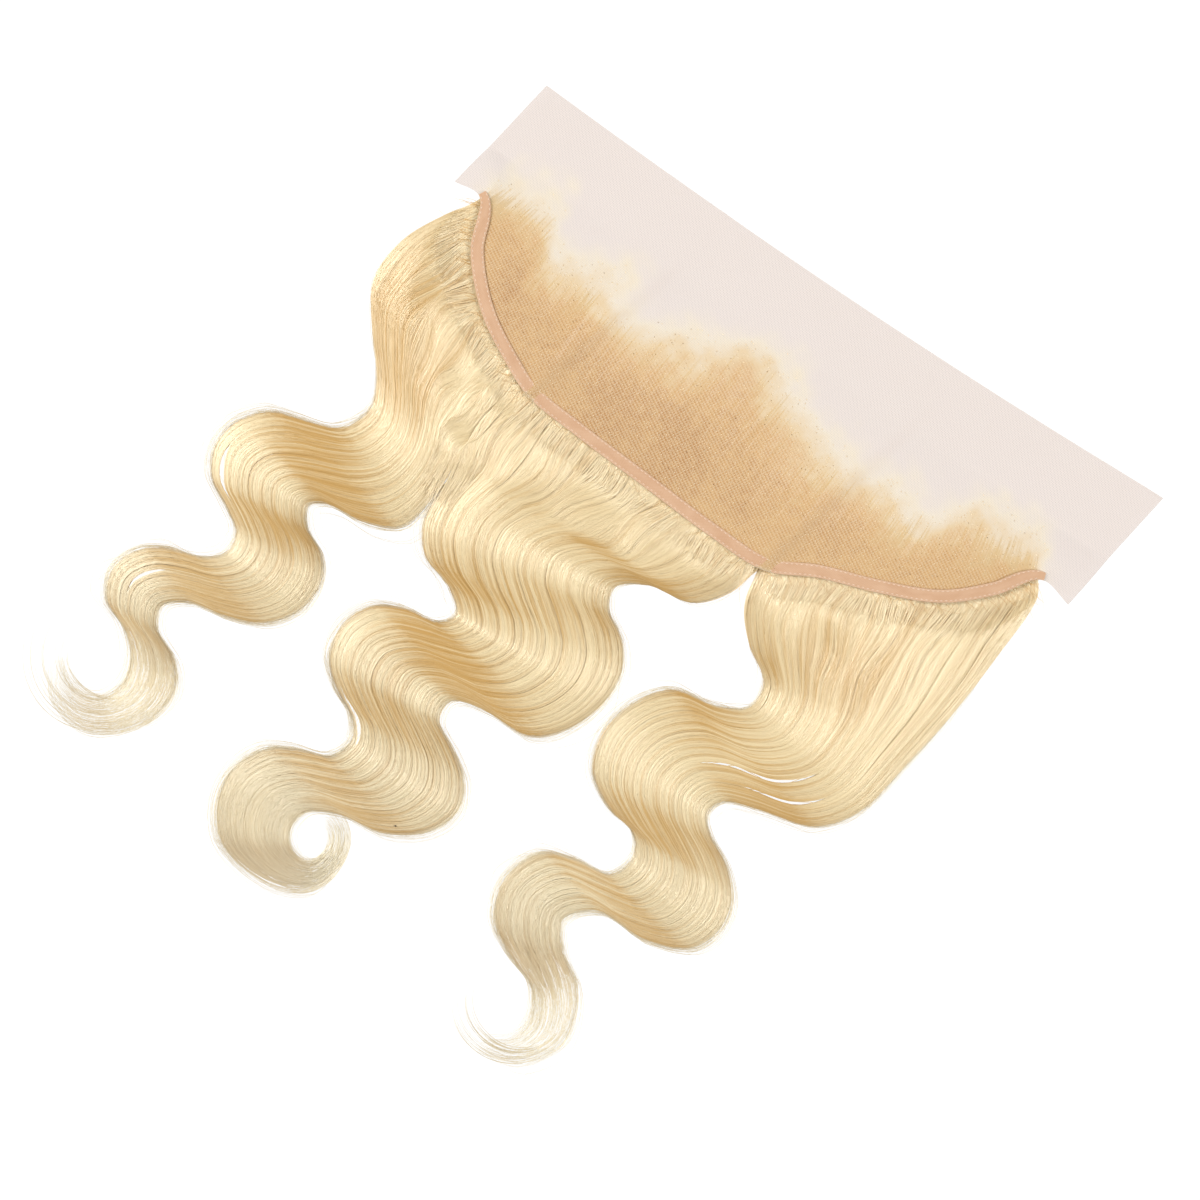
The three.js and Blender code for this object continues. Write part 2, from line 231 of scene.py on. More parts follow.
# %% Height of the lace, and the ceiling over the hair
HAIR_GAP = 0.65  # between the hair and the lace over it
LEVEL_RUN = 8.0  # hair stays level with the tape for this far
FREE_SLOPE = 0.6  # how steeply it may rise from there
LACE_MIDDLE = 0.75  # the drawn net lies this far above the underside of its solid
SIDE_FROM, SIDE_TO = 0.36, 0.53  # where its sides begin and end, from the middle, of its width
SIDE_HEIGHT = 0.5  # how high the lace still lies at its sides, as a share
CORNER_CURL = 2.5  # how far its front corners curl up
NO_CEILING = 99.0  # behind the grid nothing lies over the hair


def back_line(x):
    """How far forward the back edge lies at a place across."""
    return np.interp(x, back_edge[:, 0], back_edge[:, 1])


def lace_underside(x, y):
    share = np.clip((BED_START - y) / (BED_START - back_line(x) - TAPE_WIDTH), 0, 1)
    side = smoothstep(np.abs(x), TAPE_CHORD * SIDE_FROM, TAPE_CHORD * SIDE_TO)
    corner = smoothstep(np.abs(x), FRONT_EDGE * SIDE_FROM, FRONT_EDGE * SIDE_TO)
    curl = CORNER_CURL * corner * smoothstep(y, BED_START, FRONT_REACH)
    return BED_DEPTH * np.sin(share * math.pi / 2) * mix(1, SIDE_HEIGHT, side) + curl


GRID = 2.0
grid_x = np.arange(-216, 206, GRID)
grid_y = np.arange(-150, 70, GRID)
gx, gy = np.meshgrid(grid_x, grid_y, indexing="ij")
reach = np.hypot(gx[..., None] - back_edge[::2, 0], gy[..., None] - back_edge[::2, 1])
nearest = reach.argmin(-1)
edge_height = lace_underside(*back_edge[::2, :2].T)[nearest]
outside = edge_height + np.maximum(0, reach.min(-1) - LEVEL_RUN) * FREE_SLOPE
covered = (gy > back_line(gx)) & (gx > back_edge[0, 0]) & (gx < back_edge[-1, 0])
ceiling_grid = np.where(covered, lace_underside(gx, gy), outside) - HAIR_GAP


def hair_ceiling(x, y):
    """The highest that hair can lie at each place."""
    u = np.clip((x - grid_x[0]) / GRID, 0, len(grid_x) - 1.001)
    v = np.clip((y - grid_y[0]) / GRID, 0, len(grid_y) - 1.001)
    i, j = u.astype(int), v.astype(int)
    u, v = u - i, v - j
    low = mix(ceiling_grid[i, j], ceiling_grid[i + 1, j], u)
    high = mix(ceiling_grid[i, j + 1], ceiling_grid[i + 1, j + 1], u)
    return np.where(y < grid_y[0], NO_CEILING, mix(low, high, v))


print("the lace lies up to", round(float(ceiling_grid[covered].max()) + HAIR_GAP, 1), "mm high")

# %% [markdown]
# ## Making meshes from arrays
# The hair is hundreds of thousands of faces, far too many to add one by one. NumPy holds the
# points and the faces of a whole piece, and Blender takes each array in one call. A piece can
# also carry the direction in which each point faces, which lets a flat ribbon shade like a round
# hair, and a map named flow that says where on the hair a point lies: across the lock, and along
# it from root to tip. Every hair material reads that map.

# %% Mesh helpers


def new_piece(name, points, faces, material, flow=None, facing=None, smooth=True, masks=()):
    """A named mesh piece. points in mm; flow, facing and masks have one row for each point."""
    mesh = bpy.data.meshes.new(name)
    points = in_metres(points)
    faces = np.asarray(faces, np.int32)
    sides = faces.shape[1]
    mesh.vertices.add(len(points))
    mesh.vertices.foreach_set("co", points.astype(np.float32).ravel())
    mesh.loops.add(faces.size)
    mesh.loops.foreach_set("vertex_index", faces.ravel())
    mesh.polygons.add(len(faces))
    mesh.polygons.foreach_set("loop_start", np.arange(0, faces.size, sides, dtype=np.int32))
    mesh.polygons.foreach_set("use_smooth", np.full(len(faces), smooth))
    mesh.update(calc_edges=True)
    if flow is not None:
        for label in ("flow", "OFBake"):
            layer = mesh.uv_layers.new(name=label)
            layer.uv.foreach_set("vector", flow[faces.ravel()].astype(np.float32).ravel())
    if facing is not None:
        mesh.normals_split_custom_set_from_vertices(facing.astype(np.float32).tolist())
    for label, values in dict(masks).items():
        mask = mesh.attributes.new(label, "FLOAT", "POINT")
        mask.data.foreach_set("value", np.ascontiguousarray(values, np.float32).ravel())
    mesh.materials.append(material)
    mesh.validate()
    piece = bpy.data.objects.new(name, mesh)
    bpy.context.scene.collection.objects.link(piece)
    return piece


def grid_faces(rows, columns, start=0, closed=False):
    """Four-sided faces of a grid of points that is stored row by row."""
    i, j = np.meshgrid(np.arange(rows - 1), np.arange(columns - (not closed)), indexing="ij")
    a = start + i * columns + j
    b = start + i * columns + (j + 1) % columns
    return np.stack([a, b, b + columns, a + columns], -1).reshape(-1, 4)


def dress(piece, slot, *nodes):
    """The piece goes with the part and stands for the solids; the slot is not used."""
    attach(piece, "root")
    if nodes:
        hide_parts(*nodes)
    triangles = sum(len(p.vertices) - 2 for p in piece.data.polygons)
    print(piece.name, "has", triangles, "triangles")
    return piece


# %% [markdown]
# ## Small tools for materials
# A Principled shader with nodes behind its colour is all that these finishes need. The nodes
# could be placed by hand in the shader editor. Written down, they need two lines each, one to add
# the node and one to link it, so a small class does both at once.

# %% Node helpers


class Nodes:
    """Adds nodes to a tree and links them as it goes."""

    def __init__(self, tree):
        self.tree = tree

    def put(self, value, socket):
        if isinstance(value, bpy.types.NodeSocket):
            self.tree.links.new(value, socket)
        elif value is not None:
            socket.default_value = value

    def node(self, kind, settings=(), **inputs):
        made = self.tree.nodes.new(kind)
        for name, value in dict(settings).items():
            setattr(made, name, value)
        for name, value in inputs.items():
            self.put(value, made.inputs[name.replace("_", " ")])
        return made

    def math(self, operation, *values):
        made = self.node("ShaderNodeMath", {"operation": operation})
        for value, socket in zip(values, made.inputs):
            self.put(value, socket)
        return made.outputs[0]

    def vector(self, operation, *values):
        made = self.node("ShaderNodeVectorMath", {"operation": operation})
        for value, socket in zip(values, made.inputs):
            self.put(value, socket)
        return made.outputs[1 if operation in ("LENGTH", "DOT_PRODUCT") else 0]

    def noise(self, vector, scale, detail=2.0, dimensions="3D"):
        made = self.node(
            "ShaderNodeTexNoise",
            {"noise_dimensions": dimensions},
            Vector=vector, Scale=scale, Detail=detail,
        )
        return made.outputs[0]

    def ramp(self, value, stops):
        made = self.node("ShaderNodeValToRGB", Fac=value)
        points = made.color_ramp.elements
        while len(points) < len(stops):
            points.new(0.5)
        for point, (place, colour) in zip(points, stops):
            point.position = place
            point.color = (*colour, 1)
        return made.outputs["Color"]

    def spread(self, value, low, high, to_low=0.0, to_high=1.0):
        made = self.node("ShaderNodeMapRange", {"interpolation_type": "SMOOTHSTEP"})
        for x, socket in zip((value, low, high, to_low, to_high), made.inputs):
            self.put(x, socket)
        return made.outputs[0]

    def between(self, share, low, high):
        return self.node("ShaderNodeMix", Factor=share, A=low, B=high).outputs[0]

    def blend(self, share, first, second):
        made = self.node("ShaderNodeMix", {"data_type": "RGBA"})
        self.put(share, made.inputs[0])
        self.put(first, made.inputs[6])
        self.put(second, made.inputs[7])
        return made.outputs[2]

    def mask(self, name):
        """A value that is kept on the points of the mesh."""
        return self.node("ShaderNodeAttribute", {"attribute_name": name}).outputs["Fac"]

    def group(self, tree, **inputs):
        made = self.node("ShaderNodeGroup", {"node_tree": tree})
        for name, value in inputs.items():
            self.put(value, made.inputs[name.replace("_", " ")])
        return made


print("Nodes can", ", ".join(name for name in vars(Nodes) if name[0] != "_"))

# %% [markdown]
# ## Groups and materials
# A pattern with a meaning of its own, such as streaks or net, becomes a node group that is built
# once and has named sockets. A material starts as a Principled shader. What is the same all over a
# piece is set straight on the shader's own sockets.

# %% Groups and materials


def new_group(name, inputs, outputs):
    """A node group with float or vector sockets; returns its tree, input node and output node."""
    tree = bpy.data.node_groups.new(name, "ShaderNodeTree")
    for label, kind, value in inputs:
        socket = tree.interface.new_socket(label, in_out="INPUT", socket_type=kind)
        if value is not None:
            socket.default_value = value
    for label, kind in outputs:
        tree.interface.new_socket(label, in_out="OUTPUT", socket_type=kind)
    return tree, tree.nodes.new("NodeGroupInput"), tree.nodes.new("NodeGroupOutput")


def new_material(name, **settings):
    """A Principled material; the settings are set on the shader's own sockets."""
    material = bpy.data.materials.new(name)
    material.use_nodes = True
    shader = material.node_tree.nodes["Principled BSDF"]
    for label, value in settings.items():
        shader.inputs[label.replace("_", " ")].default_value = value
    return material, shader, Nodes(material.node_tree)


FLOAT, VECTOR = "NodeSocketFloat", "NodeSocketVector"
print("groups and materials can be made")

# %% [markdown]
# ## Streaks along the hair
# Hair is never one colour. Neighbouring hairs differ a little, and strands of many hairs differ
# more slowly. Both show as streaks along the hair, so one noise is stretched hard along the flow
# map and read twice, fine and broad.

# %% Group: streaks along the hair
streaks, arriving, leaving = new_group(
    "Hair streaks",
    [
        ("Flow", VECTOR, None), ("Fine", FLOAT, 130.0), ("Broad", FLOAT, 34.0),
        ("Fine Share", FLOAT, 0.5),
    ],
    [("Streak", FLOAT)],
)
n = Nodes(streaks)
flow_axes = n.node("ShaderNodeSeparateXYZ", Vector=arriving.outputs["Flow"])
readings = []
for across, along in (("Fine", 5.0), ("Broad", 3.2)):
    stretched = n.node(
        "ShaderNodeCombineXYZ",
        X=n.math("MULTIPLY", flow_axes.outputs["X"], arriving.outputs[across]),
        Y=n.math("MULTIPLY", flow_axes.outputs["Y"], along),
    )
    readings.append(n.noise(stretched.outputs[0], 1.0, 2.0, dimensions="2D"))
fine, broad = (n.spread(reading, 0.28, 0.72) for reading in readings)
n.put(n.between(arriving.outputs["Fine Share"], broad, fine), leaving.inputs["Streak"])
print(streaks.name, "has", len(streaks.nodes), "nodes")

# %% [markdown]
# ## Honeycomb net
# The net is a honeycomb of twisted thread. An image of it would be coarse or would show where it
# repeats, so its cells are worked out from two interleaved grids: each place measures how far it
# is from the wall of its own cell.

# %% Group: honeycomb net
net, arriving, leaving = new_group(
    "Honeycomb net",
    [("Place", VECTOR, None), ("Cell", FLOAT, 0.001), ("Thread", FLOAT, 0.2)],
    [("Thread", FLOAT)],
)
n = Nodes(net)
scaled = n.vector("SCALE", arriving.outputs["Place"])
n.put(n.math("DIVIDE", 1.0, arriving.outputs["Cell"]), scaled.node.inputs["Scale"])
flat = n.vector("MULTIPLY", scaled, (1.0, 1.0, 0.0))
CELL = (1.0, math.sqrt(3), 1.0)
HALF = (0.5, math.sqrt(3) / 2, 0.0)
first = n.vector("SUBTRACT", n.vector("WRAP", flat, CELL, (0.0, 0.0, 0.0)), HALF)
second = n.vector(
    "SUBTRACT", n.vector("WRAP", n.vector("SUBTRACT", flat, HALF), CELL, (0.0, 0.0, 0.0)), HALF
)
nearer = n.math("LESS_THAN", n.vector("LENGTH", first), n.vector("LENGTH", second))
cell = n.node("ShaderNodeMix", {"data_type": "VECTOR"})
n.put(nearer, cell.inputs[0])
n.put(second, cell.inputs[4])
n.put(first, cell.inputs[5])
folded = n.vector("ABSOLUTE", cell.outputs[1])
slanted = n.vector("DOT_PRODUCT", folded, (0.5, math.sqrt(3) / 2, 0.0))
upright = n.node("ShaderNodeSeparateXYZ", Vector=folded).outputs[0]
wall = n.math("SUBTRACT", 0.5, n.math("MAXIMUM", slanted, upright))
rim = n.math("MULTIPLY", arriving.outputs["Thread"], 0.8)
core = n.math("MULTIPLY", arriving.outputs["Thread"], 0.25)
n.put(n.spread(wall, rim, core), leaving.inputs["Thread"])
print(net.name, "has", len(net.nodes), "nodes")

# %% [markdown]
# ## Where the hair is knotted
# A maker knots hair by hand, densely near the tape and ever more sparsely towards the hairline,
# which wanders, so that it looks grown. A short table gives the hairline from ear to ear, and a
# second one the patches where the knots are closest. From them follows how full the lace is at
# any place: none in the plain margin, all of it in the patches near the tape.

# %% The hairline and how full the lace is
HAIRLINE = np.array(  # across (of TAPE_CHORD), forward (of FRONT_REACH)
    [
        (-0.5, 0.3), (-0.455, 0.6), (-0.4, 0.6), (-0.345, 0.3), (-0.28, 0.4), (-0.2, 0.26),
        (-0.12, 0.32), (-0.03, 0.58), (0.03, 0.5), (0.12, 0.28), (0.24, 0.24), (0.32, 0.28),
        (0.39, 0.5), (0.46, 0.54), (0.51, 0.24),
    ]
)
THICK_PATCHES = [  # middle across and down, half width and half depth (of TAPE_CHORD), strength
    (-0.08, -0.145, 0.2, 0.11, 1.0), (-0.37, -0.1, 0.12, 0.1, 0.6), (-0.22, -0.13, 0.07, 0.1, 0.3),
    (0.2, -0.1, 0.14, 0.06, 0.35), (0.37, -0.02, 0.1, 0.06, 0.3), (-0.45, 0.0, 0.05, 0.05, 0.4),
]
FADE = 54.0  # from the first thin knots to the full density
WANDER = ((7, 40, 1), (3.5, 11, 2))  # how far the hairline strays, over what length, and a seed
EVEN_COVER = 0.78  # how full the lace is away from the thick patches
PATCH_COVER = 0.28  # how much fuller it is in them, as a share
EARS = (-172, -158, 160, 176)  # hair starts and is full at the left, is full and ends at the right
hairline_fine = smooth_line(HAIRLINE, np.linspace(0, len(HAIRLINE) - 1, 200))


def hairline(x):
    return np.interp(x, hairline_fine[:, 0] * TAPE_CHORD, hairline_fine[:, 1] * FRONT_REACH)


def ripple(x, y, size, seed):
    """Smooth unevenness between about -1 and 1, as a sum of slanted waves."""
    chance = np.random.default_rng(seed)
    total = np.zeros(np.broadcast(x, y).shape)
    for _ in range(7):
        turn, phase = chance.uniform(0, 2 * math.pi, 2)
        length = size * chance.uniform(0.7, 1.5)
        total += np.sin(2 * math.pi * (x * math.cos(turn) + y * math.sin(turn)) / length + phase)
    return total / 4


def fullness(x, y):
    """How thickly hair is knotted, from 0 in the margin to 1 in the thickest patch."""
    start = hairline(x)
    for far, length, seed in WANDER:
        start = start + far * ripple(x, y, length, seed)
    full = EVEN_COVER * smoothstep((start - y) / FADE, 0, 1)
    thick = 0
    for across, down, wide, deep, strength in THICK_PATCHES:
        away = np.hypot(x / TAPE_CHORD - across, (y / TAPE_CHORD - down) * wide / deep) / wide
        thick = thick + strength * (1 - smoothstep(away, 0.2, 1.1))
    full = full * (1 + PATCH_COVER * np.clip(thick + 0.3 * ripple(x, y, 30, 3), 0, 1))
    inside = smoothstep(y - back_line(x), -1, 2)
    ears = smoothstep(x, *EARS[:2]) * (1 - smoothstep(x, *EARS[2:]))
    return np.clip(full, 0, 1) * inside * ears


print("full in the middle:", round(float(fullness(np.array([-20.0]), np.array([-45.0]))[0]), 2))

# %% [markdown]
# ## The space of a lock
# Every hair of a lock swings with it, so a hair is best drawn in the lock's own space: a share
# from its left edge to its right one, and a share of the way from the hairline to the tip. Short
# tables hold what all hairs of a lock have in common: the partings, where neighbouring strands
# have slid apart, and the joins, where a lock still meets its neighbour.

# %% Stations along a lock, partings and joins
STATIONS = 600
PARTINGS = {  # first and last section, share across, how far it opens, how soft it is
    "left": [(11.6, 13.8, 0.12, 0.028, 0.05), (18.6, 20.4, 0.4, 0.03, 0.08)],
    "middle": [(15.6, 18.2, 0.05, 0.025, 0.035)],
    "right": [(5.7, 9.1, 0.62, 0.016, 0.03), (6.2, 8.2, 0.8, 0.015, 0.03)],
}
JOINS = {  # last joined section and spread over the neighbour, at the left and the right edge
    "left": [(0.0, 0.0), (5.3, 0.085)],
    "middle": [(4.3, 0.035), (2.5, 0.03)],
    "right": [(2.5, 0.03), (0.0, 0.0)],
}
SWING = {"left": 0.03, "middle": 0.02, "right": 0.014}  # waves just behind the tape, as a share
TAPE_FLOW = 0.1  # where the tape crosses in the flow map of every hair
BEND_PACE = 25.0  # how much closer the steps of a strand are in a bend
SHARE_STEPS = 61  # so many hairs tell where their lock passes the tape
print({name: len(rows) for name, rows in PARTINGS.items()}, "partings in the locks")

# %% [markdown]
# ## From the lock's space to millimetres
# Blender's curve modifier could bend straight hair along a line, but it knows neither the width
# of a lock nor its thickness. The class below reads both from the table of sections, and turns
# two shares and a depth into a place.

# %% The lock


class Lock:
    """Edges, thickness and section numbers at even steps along a lock."""

    def __init__(self, name):
        self.name = name
        rows = np.array(LOCK_ROWS[name])
        rows = np.vstack([2 * rows[0] - rows[1], rows])
        turn, half = np.radians(rows[:, 3]), rows[:, 2] * TAPE_CHORD / 2
        middle = np.stack(
            [rows[:, 0] * TAPE_CHORD, -rows[:, 1] * HAIR_REACH, rows[:, 4] * HAIR_DEPTH], 1
        )
        outward = np.stack([half * np.cos(turn), half * np.sin(turn), 0 * half], 1)
        at = np.linspace(0, len(rows) - 1, 4 * STATIONS)
        line = smooth_line(middle, at)
        way = way_along(line[:, :2])
        self.length = way[-1]
        at = np.interp(np.linspace(0, way[-1], STATIONS + 1), way, at)
        self.section = at - 1
        self.left = smooth_line(middle - outward, at)
        self.right = smooth_line(middle + outward, at)
        self.width = np.linalg.norm((self.right - self.left)[:, :2], axis=1)
        ahead = np.gradient((self.left + self.right)[:, :2], axis=0)
        heading = np.unwrap(np.arctan2(ahead[:, 1], ahead[:, 0]))
        bend = np.abs(np.gradient(heading)) / (self.length / STATIONS)
        self.pace = np.append(0, np.cumsum(1 + BEND_PACE * bend[1:]))
        self.shares = np.linspace(0, 1, SHARE_STEPS)
        self.tape_at = np.array([self.reach_line(back_line, share) for share in self.shares])

    def reach_line(self, line, share):
        """How far along the hairs at a share pass behind a line across the lace."""
        edge = mix(self.left[: STATIONS // 3], self.right[: STATIONS // 3], share)
        return np.argmax(edge[:, 1] < line(edge[:, 0])) / STATIONS

    def look_up(self, values, along):
        """A value kept for each station, read between stations."""
        place = np.clip(along, 0, 1) * STATIONS
        low = np.minimum(place.astype(int), STATIONS - 1)
        part = place - low
        if values.ndim > 1:
            part = part[..., None]
        return mix(values[low], values[low + 1], part)

    def steps(self, begin, end, count):
        """Ways along for each strand, closer together in the bends."""
        even = np.linspace(0, 1, STATIONS + 1)
        first, last = (np.interp(x, even, self.pace) for x in (begin, end))
        paced = mix(first[:, None], last[:, None], np.linspace(0, 1, count))
        return np.interp(paced, self.pace, even)

    def place(self, share, along, layer=1.0, below=0.0):
        """Where a hair lies: at a layer from 0 (table) to 1 (top), and then some mm below it."""
        section = self.look_up(self.section, along)
        for first, last, at, opening, soft in PARTINGS[self.name]:
            swing = (section - first) / (last - first)
            window = np.clip(swing * (1 - swing) * 4, 0, 1) ** 1.4
            away = share - at
            share = share + opening * window * np.sign(away) * np.exp(-np.abs(away) / soft)
        for (last, spread), sign in zip(JOINS[self.name], (-1, 1)):
            near = np.clip(0.5 + sign * (share - 0.5), 0, 1) ** 3
            share = share + sign * spread * near * (1 - smoothstep(section, last - 1.2, last))
        left, right = self.look_up(self.left, along), self.look_up(self.right, along)
        where = mix(left, right, share[..., None])
        inside = np.ones(share.shape)
        for (last, _), edge in zip(JOINS[self.name], (share, 1 - share)):
            rounded = mix(0.08, 0.5, smoothstep(section, max(1, last - 1), max(6, last + 2.5)))
            inside = np.minimum(inside, np.clip(edge / rounded, 0.01, 1))
        top = EDGE_LIP + (where[..., 2] - EDGE_LIP) * np.sqrt(1 - (1 - inside) ** 2)
        top = np.minimum(top, hair_ceiling(where[..., 0], where[..., 1]))
        where[..., 2] = np.maximum(0.25, top * layer - below)
        return where

    def flow(self, share, along):
        """The flow map: share across, and along with the tape at the same place for all."""
        tape = np.interp(share, self.shares, self.tape_at)
        before = TAPE_FLOW * along / tape
        after = mix(TAPE_FLOW, 1, (along - tape) / (1 - tape))
        return np.where(along < tape, before, after)


locks = {name: Lock(name) for name in LOCK_ROWS}
for lock in locks.values():
    widest = round(lock.width.max())
    print(lock.name, "lock is", round(lock.length), "mm long and up to", widest, "wide")

# %% [markdown]
# ## The finish of the hair
# This is bleached blonde: golden at the roots and in the shade behind the tape, creamy along the
# waves, and nearly white where the ends are thin. Right at the tape the tones are painted lighter,
# a painted light that lifts the shade on the hair there. The streaks group shifts each strand a
# little towards the lighter or the darker side of that ramp. A smooth hair mirrors a lamp in a
# narrow band, so the finish has a fairly strong reflection that is only half rough. A mask that
# each strand brings along paints a highlight: it makes the hair paler where it runs across the
# light of the lamps.

# %% Hair material
hair_finish, shader, n = new_material(
    "Blonde hair", Roughness=0.35, IOR=1.85, Specular_IOR_Level=0.85
)
shader.inputs["Specular Tint"].default_value = (1.0, 0.92, 0.75, 1)
flow_map = n.node("ShaderNodeUVMap", {"uv_map": "flow"})
flow_axes = n.node("ShaderNodeSeparateXYZ", Vector=flow_map.outputs[0])
along = flow_axes.outputs["Y"]
tone = n.group(streaks, Flow=flow_map.outputs[0])
# the stops at 0.1 and 0.122, just behind the tape, are painted lighter to lift the shade that falls
# on the hair there
HAIR_TONES = [  # place along the hair, and there the colour of its lighter and its darker side
    (0.0, (0.66, 0.45, 0.22), (0.50, 0.29, 0.10)),
    (0.1, (0.99, 0.83, 0.52), (0.72, 0.41, 0.11)),
    (0.122, (0.98, 0.80, 0.49), (0.70, 0.41, 0.12)),
    (0.145, (0.87, 0.68, 0.38), (0.59, 0.34, 0.09)),
    (0.45, (0.93, 0.76, 0.45), (0.61, 0.345, 0.085)),
    (0.75, (0.94, 0.81, 0.54), (0.70, 0.47, 0.20)),
    (0.97, (0.88, 0.80, 0.60), (0.70, 0.60, 0.42)),
]
light_side = n.ramp(along, [(place, light) for place, light, _ in HAIR_TONES])
dark_side = n.ramp(along, [(place, dark) for place, _, dark in HAIR_TONES])
from_streaks = n.math("MULTIPLY", tone.outputs["Streak"], 0.6)
# painted highlight: the mask read here makes the hair paler where it runs across the lamps' light
pale = n.math("ADD", from_streaks, n.math("MULTIPLY", n.mask("painted_highlight"), 0.45))
pale = n.spread(pale, 0.12, 0.9)
n.put(n.blend(pale, dark_side, light_side), shader.inputs["Base Color"])
print(hair_finish.name, "has", len(HAIR_TONES), "tones from root to tip")

# %% [markdown]
# ## Ribbons for strands
# A hair curve would be the obvious choice, but the strands must be plain meshes to leave Blender
# with the part. Each strand is a narrow flat ribbon of a few dozen steps. Its two edges face
# outward to the left and right, so light slides over it as over a round thread, and a random roll
# keeps neighbours from lying in one plane.

# %% Ribbons from lines
UP = np.array([0.0, 0.0, 1.0])
ROUND = 0.55  # how far the ribbon's edges face outward


def unit(vectors):
    return vectors / np.maximum(np.linalg.norm(vectors, axis=-1, keepdims=True), 1e-9)


def ribbons(lines, width, roll):
    """Points, faces and facing directions of ribbons along many lines at once."""
    count, steps = lines.shape[:2]
    ahead = unit(np.gradient(lines, axis=1))
    side = unit(np.cross(ahead, UP))
    over = np.cross(side, ahead)
    roll = roll[:, None, None]
    tilted = side * np.cos(roll) + over * np.sin(roll)
    over = over * np.cos(roll) - side * np.sin(roll)
    half = tilted * width[..., None] / 2
    points = np.stack([lines - half, lines + half], 2).reshape(-1, 3)
    facing = np.stack([unit(over - ROUND * tilted), unit(over + ROUND * tilted)], 2)
    one = grid_faces(steps, 2)
    faces = (one[None] + (np.arange(count) * steps * 2)[:, None, None]).reshape(-1, 4)
    return points, faces, facing.reshape(-1, 3)


def ribbon_flow(share, along, spread=0.0004):
    """The flow map of ribbons; each keeps a narrow stripe of its own."""
    both = np.stack([share - spread, share + spread], -1)
    return np.stack([both, np.repeat(along[..., None], 2, -1)], -1).reshape(-1, 2)


print("each ribbon keeps a stripe of the flow map to itself")

# %% [markdown]
# ## Painted highlight on the hair
# Where hair runs from front to back, across the light of the lamps at both sides, it mirrors them
# most. Here that highlight is painted into its colour: a mask of painted highlight is worked out
# from the direction of each strand and makes the hair paler there. A table of soft round patches
# paints shade on top, which makes the hair more golden, or paints more highlight where the last
# number is below zero.

# %% The painted highlight mask
PAINTED_SHADE_AND_HIGHLIGHT = [  # x and y of the middle and radius, in mm, and how much painted shade makes the hair more golden (below zero: painted highlight)
    (-168, -62, 26, 1.0), (-138, -92, 22, 0.9), (110, -90, 24, 0.8), (-145, -187, 20, 0.4),
    (-70, -215, 20, 0.35), (-25, -90, 22, -0.3), (90, -150, 22, -0.6), (60, -250, 22, -0.5),
    (-110, -97, 9, -0.9), (-123, -76, 8, -0.6), (-96, -122, 8, -0.5), (-84, -290, 24, -0.4),
]


def painted_highlight_of(lines):
    """Painted highlight: 1 where a line runs towards the front or the back of the piece, 0 where it
    runs across, with shade or more highlight painted by the patches.
    """
    ahead = unit(np.gradient(lines[..., :2], axis=-2))
    painted_highlight = smoothstep(np.abs(ahead[..., 1]), 0.3, 0.95)
    # each patch paints shade, or more highlight where its number is below zero
    for x, y, radius, painted_shade in PAINTED_SHADE_AND_HIGHLIGHT:
        away = np.hypot(lines[..., 0] - x, lines[..., 1] - y) / radius
        painted_highlight = painted_highlight - painted_shade * np.exp(-(away**2))
    return painted_highlight


print(len(PAINTED_SHADE_AND_HIGHLIGHT), "patches")

# %% [markdown]
# ## Body of each lock
# Below the strands that one sees lies the mass of the hair. To draw it strand by strand would
# take millions of faces that nobody sees. A few closed, flattened bundles stand for it, a little
# under the lock's surface, so that the strands cover them. They lap over each other along their
# borders, except where a border lies on a parting: the body parts there with the strands.

# %% Bundles
BORDERS = {
    "left": (0.02, 0.12, 0.26, 0.4, 0.6, 0.8, 0.98),
    "middle": (0.015, 0.05, 0.2, 0.36, 0.52, 0.68, 0.84, 0.985),
    "right": (0.02, 0.16, 0.31, 0.47, 0.62, 0.8, 0.98),
}
BUNDLE_STEPS = 100
RING = 12
BODY_BELOW = 0.4  # how far under the lock's surface its body lies, in mm
SLIT = 0.0002  # half the gap where a parting runs, as a share of the lock
LAP = 0.014  # how far bundles reach into each other, as a share of the lock
BODY_END = {"left": 0.86, "middle": 0.99, "right": 0.9}  # from there on all hair is loose
SQUARE = 0.3  # bundles have flat tops and steep sides


def squared_off(wave, power):
    """A wave with flatter tops and steeper sides, the more so the smaller the power."""
    return np.sign(wave) * np.abs(wave) ** power


